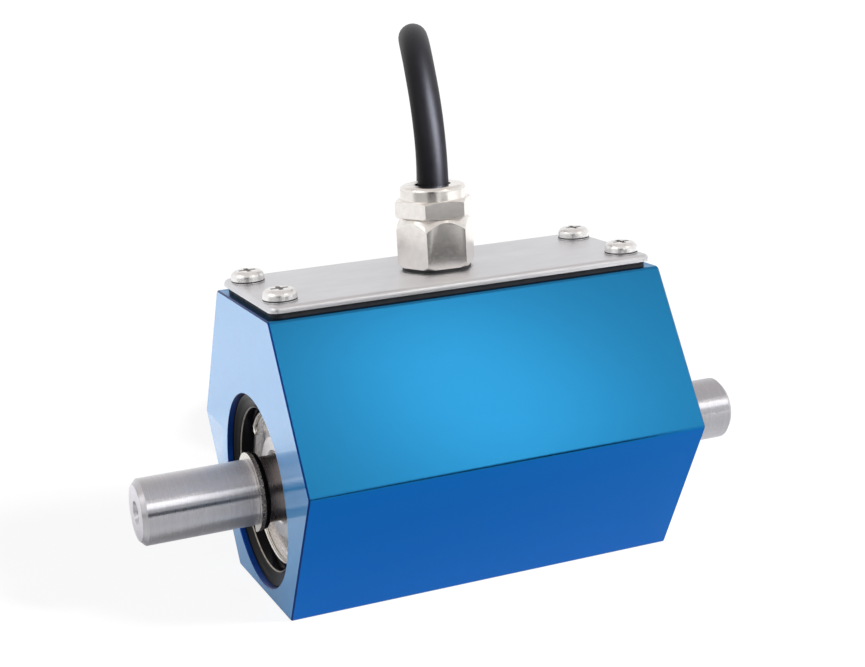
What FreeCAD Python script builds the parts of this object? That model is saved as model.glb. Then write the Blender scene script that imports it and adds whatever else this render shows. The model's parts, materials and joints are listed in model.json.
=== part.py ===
import FreeCAD, Part
import math
import os

import Sketcher
from FreeCAD import Placement, Rotation, Vector

# Rotary torque sensor: a hexagonal aluminium block that carries a measuring shaft on two ball
# bearings, with a cover plate, a cable gland and a signal cable on top.
# The part stands on its lower flat. X runs along the shaft, Z is up, and the origin is the
# middle of the lower flat. The end on the -X side is called left and the other one right.

# Driving dimensions in millimetres, degrees and counts: name, value, meaning.
DIMENSIONS = [
    ("housing_length", 100.0, "block, along the shaft"),
    ("base_wall", 2.4, "lowest point of the mouth above the lower flat"),
    ("long_edge_radius", 1.2, "rounding of the block's six long edges"),
    ("end_edge_chamfer", 0.35, "chamfer round the block's end faces"),
    ("seat_clearance", 0.03, "radial clearance of parts that are pressed or glued in"),
    ("mouth_step", 3.5, "counterbore at each end of the block, beyond the bearing"),
    ("mouth_depth", 5.4, "end face of the block to the bearing's face"),
    ("mouth_chamfer", 0.3, "chamfer at the rim of the counterbore"),
    ("bearing_diameter", 40.0, "outer diameter of a bearing"),
    ("journal_step", 0.5, "bearing seat on the shaft, beyond the free shaft end"),
    ("bearing_width", 12.0, "width of a bearing"),
    ("bearing_chamfer", 0.6, "outer corners of the bearing rings"),
    ("outer_land_step", 2.35, "circle of the balls to the outer ring's inner face"),
    ("inner_land_step", 1.95, "circle of the balls to the inner ring's outer face"),
    ("ball_diameter", 6.75, "bearing ball"),
    ("ball_count", 8, "balls in a bearing"),
    ("ball_play", 0.05, "radial play between a ball and each ring"),
    ("groove_relief", 0.125, "radius of a ball groove beyond a ball's radius"),
    ("cage_thickness", 1.7, "radial thickness of the ball cage"),
    ("cage_gap", 0.5, "gap between the ball cage and a shield"),
    ("pocket_play", 0.1, "play of a ball in the cage"),
    ("shield_recess", 1.4, "depth of the shield's seat in the outer ring"),
    ("shield_seat_step", 0.8, "shield's seat beyond the outer ring's inner face"),
    ("shield_thickness", 0.5, "sheet of a bearing shield"),
    ("shield_gap", 0.3, "gap between a shield and the inner ring"),
    ("ring_flare_depth", 2.3, "depth of the retaining ring's flare"),
    ("ring_lap", 1.1, "retaining ring over the bearing's outer ring"),
    ("ring_rim", 0.25, "flat rim round the flare"),
    ("snap_wire_diameter", 0.9, "round wire in front of each bearing"),
    ("snap_wire_hook", 1.5, "radius of the hook at the wire's end"),
    ("snap_wire_sweep", 330.0, "angle that the wire covers"),
    ("snap_wire_turn", 168.0, "angle of the wire's plain end, from +Y towards +Z"),
    ("shaft_diameter", 16.0, "free shaft ends"),
    ("shaft_reach", 29.3, "shaft end beyond the block"),
    ("shaft_chamfer", 1.2, "chamfer at the shaft ends"),
    ("shoulder_step", 2.1, "collar beside the bearing, beyond its bore"),
    ("shoulder_width", 2.6, "width of that collar"),
    ("torsion_diameter", 11.0, "measuring section of the shaft"),
    ("torsion_fillet", 2.0, "rounding where the measuring section ends"),
    ("centre_hole_diameter", 4.2, "tapping hole in the shaft ends"),
    ("centre_hole_depth", 12.5, "depth of that hole"),
    ("centre_sink_diameter", 5.8, "countersink of that hole"),
    ("circlip_inset", 0.5, "end face of the block to the circlip"),
    ("circlip_thickness", 1.0, "ring clipped on the shaft"),
    ("circlip_height", 1.6, "circlip beyond the shaft"),
    ("circlip_gap_angle", 28.0, "opening of the circlip"),
    ("circlip_groove_depth", 0.4, "groove in the shaft for the circlip"),
    ("circlip_groove_play", 0.05, "play of the circlip along the shaft"),
    ("shaft_ring_width", 1.35, "rubber ring behind the circlip"),
    ("shaft_ring_height", 1.3, "rubber ring beyond the shaft"),
    ("gauge_length", 10.0, "strain gauge along the shaft"),
    ("gauge_angle", 52.0, "strain gauge round the shaft"),
    ("gauge_thickness", 0.3, "foil, glue and cover of a strain gauge"),
    ("gauge_count", 4, "strain gauges of the full bridge"),
    ("core_gap", 4.5, "collar of the shaft to a transformer core"),
    ("core_width", 9.0, "transformer cores along the shaft"),
    ("core_wall", 2.2, "walls beside a winding"),
    ("air_gap", 0.4, "gap between turning and fixed cores"),
    ("winding_share", 0.575, "depth of a winding over the depth of its core"),
    ("sleeve_wall", 3.0, "tube that spaces the bearings and holds the fixed cores"),
    ("rotor_board_thickness", 1.2, "ring-shaped board on the shaft"),
    ("rotor_board_gap", 1.4, "ring-shaped board to a core"),
    ("rotor_board_inset", 0.1, "rim of that board inside the core's rim"),
    ("end_rim", 10.8, "pocket's edge to the cover plate's edge, along the shaft"),
    ("side_rim", 4.6, "pocket's edge to the cover plate's edge, across"),
    ("pocket_corner", 4.0, "corner radius of the pocket"),
    ("pocket_floor_wall", 3.67, "wall between the pocket and the bore"),
    ("pocket_depth", 22.0, "depth of the pocket, from the upper flat"),
    ("wire_hole_diameter", 4.0, "holes from the pocket to the fixed cores"),
    ("gasket_thickness", 1.3, "rubber gasket under the cover plate"),
    ("gasket_inset", 0.8, "gasket edge inside the plate's edge"),
    ("plate_end_margin", 1.2, "cover plate's edge to the block's end face"),
    ("plate_side_margin", 1.07, "cover plate's edge to the edge of the upper flat"),
    ("plate_thickness", 1.6, "cover plate"),
    ("plate_corner", 2.5, "corner radius of the cover plate"),
    ("plate_edge_radius", 0.45, "rounding of the cover plate's upper edge"),
    ("cover_screw_inset", 4.6, "cover screws from the plate's edge, along the shaft"),
    ("cover_screw_side_inset", 7.1, "cover screws from the plate's edge, across"),
    ("cover_screw_diameter", 4.0, "cover screw thread"),
    ("cover_screw_length", 9.0, "cover screw under its head"),
    ("cover_head_diameter", 8.0, "pan head of a cover screw"),
    ("cover_head_height", 2.7, "pan head of a cover screw"),
    ("cover_head_edge", 1.5, "rounding of the pan head"),
    ("cross_width", 1.1, "cross recess, width of a slot"),
    ("cross_span", 4.2, "cross recess, across"),
    ("cross_depth", 1.5, "cross recess, depth"),
    ("tap_depth", 10.0, "tapped holes for the cover screws"),
    ("thread_clearance", 0.25, "clearance holes beyond a screw's radius"),
    ("base_hole_x", 35.0, "fixing holes in the lower flat, along the shaft"),
    ("base_hole_y", 14.0, "fixing holes in the lower flat, across"),
    ("base_hole_diameter", 4.2, "fixing holes, tapped"),
    ("base_hole_depth", 8.0, "fixing holes"),
    ("board_end_gap", 4.0, "circuit board to the pocket's wall, along the shaft"),
    ("board_side_gap", 2.0, "circuit board to the pocket's wall, across"),
    ("board_thickness", 1.6, "circuit board"),
    ("board_lift", 4.5, "spacers under the circuit board"),
    ("board_screw_inset", 3.0, "board screws from the board's edges"),
    ("board_screw_diameter", 2.5, "board screw thread"),
    ("board_screw_bite", 3.5, "board screw in the block"),
    ("board_head_diameter", 4.5, "board screw head"),
    ("board_head_height", 1.6, "board screw head"),
    ("spacer_diameter", 5.0, "spacer tube"),
    ("terminal_length", 8.0, "terminal block along the shaft"),
    ("terminal_depth", 14.0, "terminal block across"),
    ("terminal_height", 5.5, "terminal block"),
    ("terminal_share", 0.22, "terminal block from the middle, over the board's length"),
    ("gland_turn", -34.5, "turn of the gland's hexagons about its axis"),
    ("gland_flat_step", 1.3, "gland's flats beyond its upper thread"),
    ("gland_washer_thickness", 0.8, "rubber washer between the gland and the plate"),
    ("gland_washer_inset", 0.15, "rubber washer inside the gland's flats"),
    ("gland_body_height", 11.8, "gland body above its washer"),
    ("gland_corner_drop", 2.6, "height of the gland body's upper corner chamfer"),
    ("gland_foot_chamfer", 0.8, "gland body's lower corner chamfer"),
    ("gland_thread_step", 0.4, "gland's lower thread beyond its upper one"),
    ("gland_thread_length", 8.5, "gland thread below the plate's upper face"),
    ("gland_bore_play", 0.95, "passage through the gland body beyond the cable"),
    ("gland_collar_wall", 1.4, "wall of the thread that takes the cap nut"),
    ("gland_collar_height", 4.6, "thread that takes the cap nut"),
    ("gland_seat_step", 2.05, "recess for the rubber seal beyond the cable"),
    ("gland_seat_depth", 8.0, "recess for the rubber seal, in the body's hexagon"),
    ("cap_gap", 0.35, "gap between the gland body and the cap nut"),
    ("cap_flat_step", 1.3, "cap nut's flats beyond its thread"),
    ("cap_hex_height", 4.05, "hexagon of the cap nut"),
    ("cap_chamfer", 0.5, "corner chamfer of the nuts and of the plug's ring"),
    ("dome_step", 0.75, "round top of the cap nut beyond its thread"),
    ("dome_height", 3.35, "round top of the cap nut"),
    ("dome_edge_radius", 1.1, "rounding of the dome's edge"),
    ("dome_hole_play", 0.6, "hole in the dome beyond the cable"),
    ("lock_nut_step", 1.4, "lock nut's flats beyond the gland's lower thread"),
    ("lock_nut_height", 3.6, "nut under the cover plate"),
    ("cable_diameter", 7.5, "signal cable"),
    ("wire_diameter", 1.2, "single wire"),
    ("coil_inner_radius", 37.5, "put-away coil of cable, inside"),
    ("coil_outer_radius", 52.5, "put-away coil of cable, outside"),
    ("coil_height", 22.5, "put-away coil of cable"),
    ("coil_x", 37.0, "middle of the coil"),
    ("coil_y", 115.5, "middle of the coil"),
    ("plug_radius", 7.5, "plug shell"),
    ("plug_shell_length", 18.0, "plug shell behind its coupling ring"),
    ("plug_nose_radius", 6.2, "plug shell inside its coupling ring"),
    ("plug_nose_length", 14.0, "plug shell inside its coupling ring"),
    ("plug_ring_radius", 9.2, "coupling ring of the plug"),
    ("plug_ring_length", 13.0, "coupling ring of the plug"),
    ("plug_ring_play", 0.08, "running play of the coupling ring"),
    ("plug_nut_radius", 7.0, "clamp nut at the plug's rear"),
    ("plug_nut_length", 11.0, "clamp nut at the plug's rear"),
    ("plug_nut_wall", 1.6, "clamp nut's narrow end round the cable"),
    ("plug_insert_radius", 5.2, "contact insert of the plug"),
    ("plug_insert_inset", 0.6, "contact insert behind the plug's rim"),
    ("plug_pin_hole_diameter", 1.3, "contact holes"),
    ("plug_pin_count", 6, "contact holes on their circle"),
    ("plug_pin_share", 0.62, "circle of the contact holes over the insert's radius"),
    ("plug_x", 79.9, "rear end of the plug, and the cable's end"),
    ("plug_y", 123.5, "rear end of the plug, and the cable's end"),
    ("plug_height", 32.1, "axis of the plug above the floor"),
    ("plug_run", 14.0, "straight run of the cable behind the plug"),
]

doc = FreeCAD.newDocument("rotary_torque_sensor")
sheet = doc.addObject("Spreadsheet::Sheet", "sizes")
for row, (name, value, meaning) in enumerate(DIMENSIONS, 1):
    sheet.set(f"A{row}", name)
    sheet.set(f"B{row}", str(value))
    sheet.setAlias(f"B{row}", name)
    sheet.set(f"C{row}", meaning)
doc.recompute()

SUB_PARTS = []

# Lengths that several sub-parts share, written in the sheet's names.
# Heights and radii are measured from the shaft's centre line unless a name says otherwise.
# Distances called far are measured along the shaft from the middle of the block.
HALF_BLOCK = "sizes.housing_length / 2"
BEARING_RADIUS = "(sizes.bearing_diameter / 2)"
MOUTH_RADIUS = f"({BEARING_RADIUS} + sizes.mouth_step)"
SHAFT_HEIGHT = f"({MOUTH_RADIUS} + sizes.base_wall)"
BEARING_FACE = "(sizes.housing_length / 2 - sizes.mouth_depth)"
BEARING_MIDDLE = f"({BEARING_FACE} - sizes.bearing_width / 2)"
BEARING_BACK = f"({BEARING_FACE} - sizes.bearing_width)"
FREE_SHAFT = "(sizes.shaft_diameter / 2)"
BEARING_BORE = f"({FREE_SHAFT} + sizes.journal_step)"
SHAFT_SEAT = f"({BEARING_BORE} - sizes.seat_clearance)"
SHAFT_END = "(sizes.housing_length / 2 + sizes.shaft_reach)"
BALL_CIRCLE = f"(({BEARING_RADIUS} + {BEARING_BORE}) / 2)"
GROOVE_RADIUS = "(sizes.ball_diameter / 2 + sizes.groove_relief)"
GROOVE_OFFSET = "(sizes.groove_relief - sizes.ball_play)"
OUTER_LAND = f"({BALL_CIRCLE} + sizes.outer_land_step)"
INNER_LAND = f"({BALL_CIRCLE} - sizes.inner_land_step)"
SHIELD_SEAT = f"({OUTER_LAND} + sizes.shield_seat_step)"
RING_NOSE = f"({BEARING_RADIUS} - sizes.ring_lap)"
CIRCLIP_FAR = "(sizes.housing_length / 2 + sizes.circlip_inset)"
CIRCLIP_RADIUS = f"({FREE_SHAFT} + sizes.circlip_height)"
SHAFT_RING_RADIUS = f"({FREE_SHAFT} + sizes.shaft_ring_height)"
CORE_FAR = f"({BEARING_BACK} - sizes.shoulder_width - sizes.core_gap)"
CORE_NEAR = f"({CORE_FAR} - sizes.core_width)"
CORE_MIDDLE = f"({CORE_FAR} - sizes.core_width / 2)"
STATOR_RADIUS = f"({BEARING_RADIUS} - sizes.sleeve_wall)"
STATOR_INNER = f"(({STATOR_RADIUS} + {BEARING_BORE} + sizes.air_gap) / 2)"
STATOR_WINDING = f"(({STATOR_RADIUS} - {STATOR_INNER}) * sizes.winding_share)"
ROTOR_RADIUS = f"({STATOR_INNER} - sizes.air_gap)"
ROTOR_WINDING = f"(({ROTOR_RADIUS} - {BEARING_BORE}) * sizes.winding_share)"
ROTOR_BOARD_FAR = f"({CORE_NEAR} - sizes.rotor_board_gap)"
ROTOR_BOARD_NEAR = f"({ROTOR_BOARD_FAR} - sizes.rotor_board_thickness)"
WAIST_RADIUS = "(sizes.torsion_diameter / 2)"
WAIST_FAR = f"({ROTOR_BOARD_NEAR} - {SHAFT_SEAT} + {WAIST_RADIUS})"
POCKET_FLOOR = f"({BEARING_RADIUS} + sizes.seat_clearance + sizes.pocket_floor_wall)"
UPPER_FLAT = f"({POCKET_FLOOR} + sizes.pocket_depth)"
ACROSS_FLATS = f"({SHAFT_HEIGHT} + {UPPER_FLAT})"
PLATE_LENGTH = "(sizes.housing_length - 2 * sizes.plate_end_margin)"
PLATE_WIDTH = f"({ACROSS_FLATS} / sqrt(3) - 2 * sizes.plate_side_margin)"
PLATE_FOOT = f"({ACROSS_FLATS} + sizes.gasket_thickness)"
PLATE_TOP = f"({PLATE_FOOT} + sizes.plate_thickness)"
GLAND_FOOT = f"({PLATE_TOP} + sizes.gland_washer_thickness)"
POCKET_LENGTH = f"({PLATE_LENGTH} - 2 * sizes.end_rim)"
POCKET_WIDTH = f"({PLATE_WIDTH} - 2 * sizes.side_rim)"
COVER_SCREW_X = f"({PLATE_LENGTH} / 2 - sizes.cover_screw_inset)"
COVER_SCREW_Y = f"({PLATE_WIDTH} / 2 - sizes.cover_screw_side_inset)"
BOARD_LENGTH = f"({POCKET_LENGTH} - 2 * sizes.board_end_gap)"
BOARD_WIDTH = f"({POCKET_WIDTH} - 2 * sizes.board_side_gap)"
BOARD_SCREW_X = f"({BOARD_LENGTH} / 2 - sizes.board_screw_inset)"
BOARD_SCREW_Y = f"({BOARD_WIDTH} / 2 - sizes.board_screw_inset)"
TERMINAL_PLACE = f"({BOARD_LENGTH} * sizes.terminal_share)"
GLAND_SEAT = "(sizes.cable_diameter / 2 + sizes.gland_seat_step)"
GLAND_COLLAR = f"({GLAND_SEAT} + sizes.gland_collar_wall)"
GLAND_THREAD = f"({GLAND_COLLAR} + sizes.gland_thread_step)"
GLAND_BORE = "(sizes.cable_diameter / 2 + sizes.gland_bore_play)"
GLAND_FLAT = f"({GLAND_COLLAR} + sizes.gland_flat_step)"
CAP_FLAT = f"({GLAND_COLLAR} + sizes.cap_flat_step)"
DOME_RADIUS = f"({GLAND_COLLAR} + sizes.dome_step)"
DOME_HOLE = "(sizes.cable_diameter / 2 + sizes.dome_hole_play)"
LOCK_NUT_FLAT = f"({GLAND_THREAD} + sizes.lock_nut_step)"


def size(name):
    """The number in the sheet's cell of that name."""
    return float(sheet.get(name))


def keep(sub_part, label):
    """Names a sub-part, which is written to a file of that name at the end."""
    sub_part.Label = label
    SUB_PARTS.append(sub_part)
    return sub_part


def bind(thing, **expressions):
    """Binds properties to the sheet's values."""
    for name, expression in expressions.items():
        thing.setExpression(name, expression)
    return thing


def place_at(thing, x="0", y="0", z="0", rotation=None):
    """Puts an object at a place that is given in the sheet's names."""
    if rotation is not None:
        thing.Placement = Placement(Vector(), rotation)
    for axis, expression in (("x", x), ("y", y), ("z", z)):
        if expression != "0":
            thing.setExpression(f"Placement.Base.{axis}", expression)
    return thing


def side_turn(side):
    """The right end is drawn as it is, and the left one is the same part turned round."""
    return Rotation(Vector(0, 0, 1), 0 if side == "right" else 180)


def body_on_shaft(label, side="right"):
    """A body whose own X axis is the shaft's centre line, pointing out of the block at that side."""
    body = keep(doc.addObject("PartDesign::Body", label), label)
    return place_at(body, z=SHAFT_HEIGHT, rotation=side_turn(side))


def origin_feature(body, role):
    """One of the body's own origin planes or axes."""
    return next(f for f in body.Origin.OriginFeatures if f.Role == role)


def sketch_on(body, role, lift="0"):
    """A sketch on one of the body's own planes, lifted along the plane's normal."""
    sketch = body.newObject("Sketcher::SketchObject", f"{body.Label}_sketch")
    sketch.AttachmentSupport = [(origin_feature(body, role), "")]
    sketch.MapMode = "FlatFace"
    if lift != "0":
        sketch.setExpression("AttachmentOffset.Base.z", lift)
    return sketch


def hold(sketch, geometry, corner, x, y):
    """Holds a point of a sketch at x, y, which are given in the sheet's names."""
    for kind, value, axis in (("DistanceX", x, -2), ("DistanceY", y, -1)):
        if value == "0":
            sketch.addConstraint(Sketcher.Constraint("PointOnObject", geometry, corner, axis))
        else:
            point = sketch.getPoint(geometry, corner)
            start = point.x if kind == "DistanceX" else point.y
            index = sketch.addConstraint(
                Sketcher.Constraint(kind, -1, 1, geometry, corner, start)
            )
            sketch.setExpression(f"Constraints[{index}]", value)


def draw_outline(sketch, corners):
    """A closed outline of straight lines, with each corner held in place."""
    count = len(corners)
    rough = [
        Vector(math.cos(2 * math.pi * i / count), math.sin(2 * math.pi * i / count), 0)
        for i in range(count)
    ]
    first = sketch.GeometryCount
    for i in range(count):
        sketch.addGeometry(Part.LineSegment(rough[i], rough[(i + 1) % count]), False)
    for i in range(count):
        following = first + (i + 1) % count
        sketch.addConstraint(Sketcher.Constraint("Coincident", first + i, 2, following, 1))
    for i, (x, y) in enumerate(corners):
        hold(sketch, first + i, 1, x, y)


def draw_circle(sketch, x, y, radius):
    """A circle with its centre and radius held."""
    rough = Part.Circle(Vector(0.5, 0.5, 0), Vector(0, 0, 1), 1)
    circle = sketch.addGeometry(rough, False)
    hold(sketch, circle, 3, x, y)
    index = sketch.addConstraint(Sketcher.Constraint("Radius", circle, 1))
    sketch.setExpression(f"Constraints[{index}]", radius)


def draw_four_circles(sketch, x, y, radius):
    """Four equal circles, one in each quarter."""
    for sign_x in ("", "-"):
        for sign_y in ("", "-"):
            draw_circle(sketch, f"{sign_x}{x}", f"{sign_y}{y}", radius)


def draw_rectangle(sketch, length, width):
    """A rectangle about the origin."""
    x, y = f"({length}) / 2", f"({width}) / 2"
    draw_outline(sketch, [(x, y), (f"-{x}", y), (f"-{x}", f"-{y}"), (x, f"-{y}")])


def pad(body, sketch, length, symmetric=False):
    """A prism on a sketch."""
    feature = body.newObject("PartDesign::Pad", f"{body.Label}_pad")
    feature.Profile = sketch
    if symmetric:
        feature.SideType = "Symmetric"
    feature.setExpression("Length", length)
    return finish_feature(body, feature)


def pocket(body, sketch, depth, upwards=False):
    """A prism cut away below a sketch, or above it."""
    feature = body.newObject("PartDesign::Pocket", f"{body.Label}_pocket")
    feature.Profile = sketch
    feature.Reversed = upwards
    feature.setExpression("Length", depth)
    return finish_feature(body, feature, cuts=True)


def revolve(body, sketch, axis="H_Axis", angle=None):
    """A body of revolution about one of the sketch's axes."""
    feature = body.newObject("PartDesign::Revolution", f"{body.Label}_revolution")
    feature.Profile = sketch
    feature.ReferenceAxis = (sketch, [axis])
    if angle is not None:
        feature.Midplane = True
        feature.setExpression("Angle", angle)
    return finish_feature(body, feature)


def groove(body, sketch, axis="H_Axis"):
    """A turned cut about one of the sketch's axes."""
    feature = body.newObject("PartDesign::Groove", f"{body.Label}_groove")
    feature.Profile = sketch
    feature.ReferenceAxis = (sketch, [axis])
    return finish_feature(body, feature, cuts=True)


def polar_pattern(body, pattern_of, role, count):
    """Copies of a feature round one of the body's axes."""
    before = body.Tip.Shape.Volume
    feature = body.newObject("PartDesign::PolarPattern", f"{body.Label}_pattern")
    feature.Originals = [pattern_of]
    feature.Axis = (origin_feature(body, role), [""])
    feature.Angle = 360
    feature.setExpression("Occurrences", count)
    body.Tip = feature
    doc.recompute()
    if abs(feature.Shape.Volume - before) < 1e-6:
        raise ValueError(f"{body.Label}: its pattern changes nothing")
    return feature


def mirror(body, originals, role):
    """The other half of a body that is alike on both sides of one of its planes."""
    feature = body.newObject("PartDesign::Mirrored", f"{body.Label}_mirror")
    feature.Originals = originals
    feature.MirrorPlane = (origin_feature(body, role), [""])
    body.Tip = feature
    doc.recompute()
    return feature


def finish_feature(body, feature, cuts=False):
    """Recomputes, and stops if a cut took nothing away."""
    before = feature.BaseFeature.Shape.Volume if feature.BaseFeature else 0.0
    doc.recompute()
    if cuts and feature.Shape.Volume > before - 1e-6:
        raise ValueError(f"{body.Label}: {feature.Name} cuts nothing")
    return feature


def edges_of(shape, wanted):
    """The names of the edges for which wanted says yes."""
    return [f"Edge{n}" for n, edge in enumerate(shape.Edges, 1) if wanted(edge)]


def dress_edges(body, kind, amount, wanted):
    """A Fillet or Chamfer of the body's edges that wanted picks."""
    base = body.Tip
    feature = body.newObject(f"PartDesign::{kind}", f"{body.Label}_{kind.lower()}")
    feature.Base = (base, edges_of(base.Shape, wanted))
    feature.setExpression("Radius" if kind == "Fillet" else "Size", amount)
    doc.recompute()
    return feature


def near(a, b, within=1e-4):
    return abs(a - b) < within


def is_upright(edge):
    """A straight edge along Z."""
    box = edge.BoundBox
    return box.ZLength > 1e-3 and near(box.XLength, 0) and near(box.YLength, 0)


def is_level_at(edge, height):
    """An edge that lies flat at one height."""
    return near(edge.BoundBox.ZLength, 0) and near(edge.BoundBox.ZMin, height)


def turned_part(label, corners, side="right"):
    """A part that is turned about the shaft's centre line. Its corners are (far, radius)."""
    body = body_on_shaft(label, side)
    sketch = sketch_on(body, "XZ_Plane")
    draw_outline(sketch, corners)
    revolve(body, sketch)
    return body


def plain_ring(near_end, far_end, inner, outer):
    """The corners of a ring with a rectangular section."""
    return [(near_end, inner), (far_end, inner), (far_end, outer), (near_end, outer)]


# Block


def make_housing():
    """Hexagonal block with a stepped bore for the bearings and a pocket for the electronics."""
    body = body_on_shaft("housing")
    low, middle = f"-{SHAFT_HEIGHT}", f"({ACROSS_FLATS} / 2 - {SHAFT_HEIGHT})"
    flat, corner = f"{ACROSS_FLATS} / sqrt(12)", f"{ACROSS_FLATS} / sqrt(3)"
    section = sketch_on(body, "YZ_Plane")
    hexagon = [
        (f"-{flat}", low),
        (flat, low),
        (corner, middle),
        (flat, UPPER_FLAT),
        (f"-{flat}", UPPER_FLAT),
        (f"-{corner}", middle),
    ]
    draw_outline(section, hexagon)
    pad(body, section, "sizes.housing_length", symmetric=True)
    length = size("housing_length")
    dress_edges(body, "Fillet", "sizes.long_edge_radius",
                lambda edge: near(edge.BoundBox.XLength, length))
    dress_edges(body, "Chamfer", "sizes.end_edge_chamfer",
                lambda edge: near(edge.BoundBox.XLength, 0))
    bore_block(body)
    hollow_block(body)
    return body


def bore_block(body):
    """Through bore for the bearings, with a wider mouth at each end."""
    bore = f"({BEARING_RADIUS} + sizes.seat_clearance)"
    mouth, rim = MOUTH_RADIUS, f"({MOUTH_RADIUS} + sizes.mouth_chamfer)"
    step = BEARING_FACE
    lip = f"({HALF_BLOCK} - sizes.mouth_chamfer)"
    right = [(HALF_BLOCK, rim), (lip, mouth), (step, mouth), (step, bore)]
    left = [(f"-{far}", radius) for far, radius in reversed(right)]
    sketch = sketch_on(body, "XZ_Plane")
    draw_outline(sketch, [(HALF_BLOCK, "0"), *right, *left, (f"-{HALF_BLOCK}", "0")])
    groove(body, sketch)


def hollow_block(body):
    """Pocket for the electronics, wire holes down to the cores, and the tapped holes."""
    outline = sketch_on(body, "XY_Plane", UPPER_FLAT)
    draw_rectangle(outline, POCKET_LENGTH, POCKET_WIDTH)
    pocket(body, outline, "sizes.pocket_depth")
    dress_edges(body, "Fillet", "sizes.pocket_corner", is_upright)
    wire_holes = sketch_on(body, "XY_Plane", POCKET_FLOOR)
    for sign in ("", "-"):
        draw_circle(wire_holes, f"{sign}{CORE_MIDDLE}", "0",
                    "sizes.wire_hole_diameter / 2")
    pocket(body, wire_holes, POCKET_FLOOR)
    cover_taps = sketch_on(body, "XY_Plane", UPPER_FLAT)
    draw_four_circles(cover_taps, COVER_SCREW_X, COVER_SCREW_Y,
                      "sizes.cover_screw_diameter / 2")
    pocket(body, cover_taps, "sizes.tap_depth")
    board_taps = sketch_on(body, "XY_Plane", POCKET_FLOOR)
    draw_four_circles(board_taps, BOARD_SCREW_X, BOARD_SCREW_Y,
                      "sizes.board_screw_diameter / 2")
    pocket(body, board_taps, "sizes.board_screw_bite")
    base_taps = sketch_on(body, "XY_Plane", f"-{SHAFT_HEIGHT}")
    draw_four_circles(base_taps, "sizes.base_hole_x", "sizes.base_hole_y",
                      "sizes.base_hole_diameter / 2")
    pocket(body, base_taps, "sizes.base_hole_depth", upwards=True)


# Bearings


def make_outer_ring(side):
    """Outer ring of a ball bearing, with a groove for the balls and seats for the shields."""
    outer = "sizes.bearing_diameter / 2"
    edge, land, seat = "sizes.bearing_chamfer", OUTER_LAND, SHIELD_SEAT
    face, back, recess = BEARING_FACE, BEARING_BACK, "sizes.shield_recess"
    corners = [
        (f"{back} + {edge}", outer),
        (f"{face} - {edge}", outer),
        (face, f"{outer} - {edge}"),
        (face, seat),
        (f"{face} - {recess}", seat),
        (f"{face} - {recess}", land),
        (f"{back} + {recess}", land),
        (f"{back} + {recess}", seat),
        (back, seat),
        (back, f"{outer} - {edge}"),
    ]
    body = turned_part(f"{side}_bearing_outer_ring", corners, side)
    race = sketch_on(body, "XZ_Plane")
    draw_circle(race, BEARING_MIDDLE, f"{BALL_CIRCLE} - {GROOVE_OFFSET}", GROOVE_RADIUS)
    groove(body, race)


def make_inner_ring(side):
    """Inner ring of a ball bearing."""
    inner, land, edge = BEARING_BORE, INNER_LAND, "sizes.bearing_chamfer"
    corners = [
        (f"{BEARING_BACK} + {edge}", inner),
        (f"{BEARING_FACE} - {edge}", inner),
        (BEARING_FACE, f"{inner} + {edge}"),
        (BEARING_FACE, land),
        (BEARING_BACK, land),
        (BEARING_BACK, f"{inner} + {edge}"),
    ]
    body = turned_part(f"{side}_bearing_inner_ring", corners, side)
    race = sketch_on(body, "XZ_Plane")
    draw_circle(race, BEARING_MIDDLE, f"{BALL_CIRCLE} + {GROOVE_OFFSET}", GROOVE_RADIUS)
    groove(body, race)


def make_cage(side):
    """Solid cage: a ring with a round pocket for each ball."""
    inner = f"({BALL_CIRCLE} - sizes.cage_thickness / 2)"
    outer = f"({BALL_CIRCLE} + sizes.cage_thickness / 2)"
    near_end = f"{BEARING_BACK} + sizes.shield_recess + sizes.cage_gap"
    far_end = f"{BEARING_FACE} - sizes.shield_recess - sizes.cage_gap"
    body = turned_part(f"{side}_bearing_cage", plain_ring(near_end, far_end, inner, outer), side)
    ball_pocket = body.newObject("PartDesign::SubtractiveSphere", f"{side}_ball_pocket")
    ball_pocket.AttachmentSupport = [(origin_feature(body, "XY_Plane"), "")]
    ball_pocket.MapMode = "FlatFace"
    ball_pocket.setExpression("AttachmentOffset.Base.x", BEARING_MIDDLE)
    ball_pocket.setExpression("AttachmentOffset.Base.y", BALL_CIRCLE)
    ball_pocket.setExpression("Radius", "sizes.ball_diameter / 2 + sizes.pocket_play")
    finish_feature(body, ball_pocket, cuts=True)
    polar_pattern(body, ball_pocket, "X_Axis", "sizes.ball_count")


def make_balls(side):
    """The balls of one bearing, as separate solids in one group."""
    balls = []
    step = 360 / size("ball_count")
    for i in range(int(size("ball_count"))):
        ball = doc.addObject("Part::Sphere", f"{side}_ball")
        bind(ball, Radius="sizes.ball_diameter / 2")
        place_at(ball, BEARING_MIDDLE, f"{BALL_CIRCLE} * cos({step * i} deg)",
                 f"{BALL_CIRCLE} * sin({step * i} deg)")
        balls.append(ball)
    group_solids(f"{side}_bearing_balls", balls, side)


def group_solids(label, solids, side="right"):
    """Like pieces that lie about the shaft's centre line, kept apart in one group."""
    group = keep(doc.addObject("Part::Compound", label), label)
    group.Links = solids
    return place_at(group, z=SHAFT_HEIGHT, rotation=side_turn(side))


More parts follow.
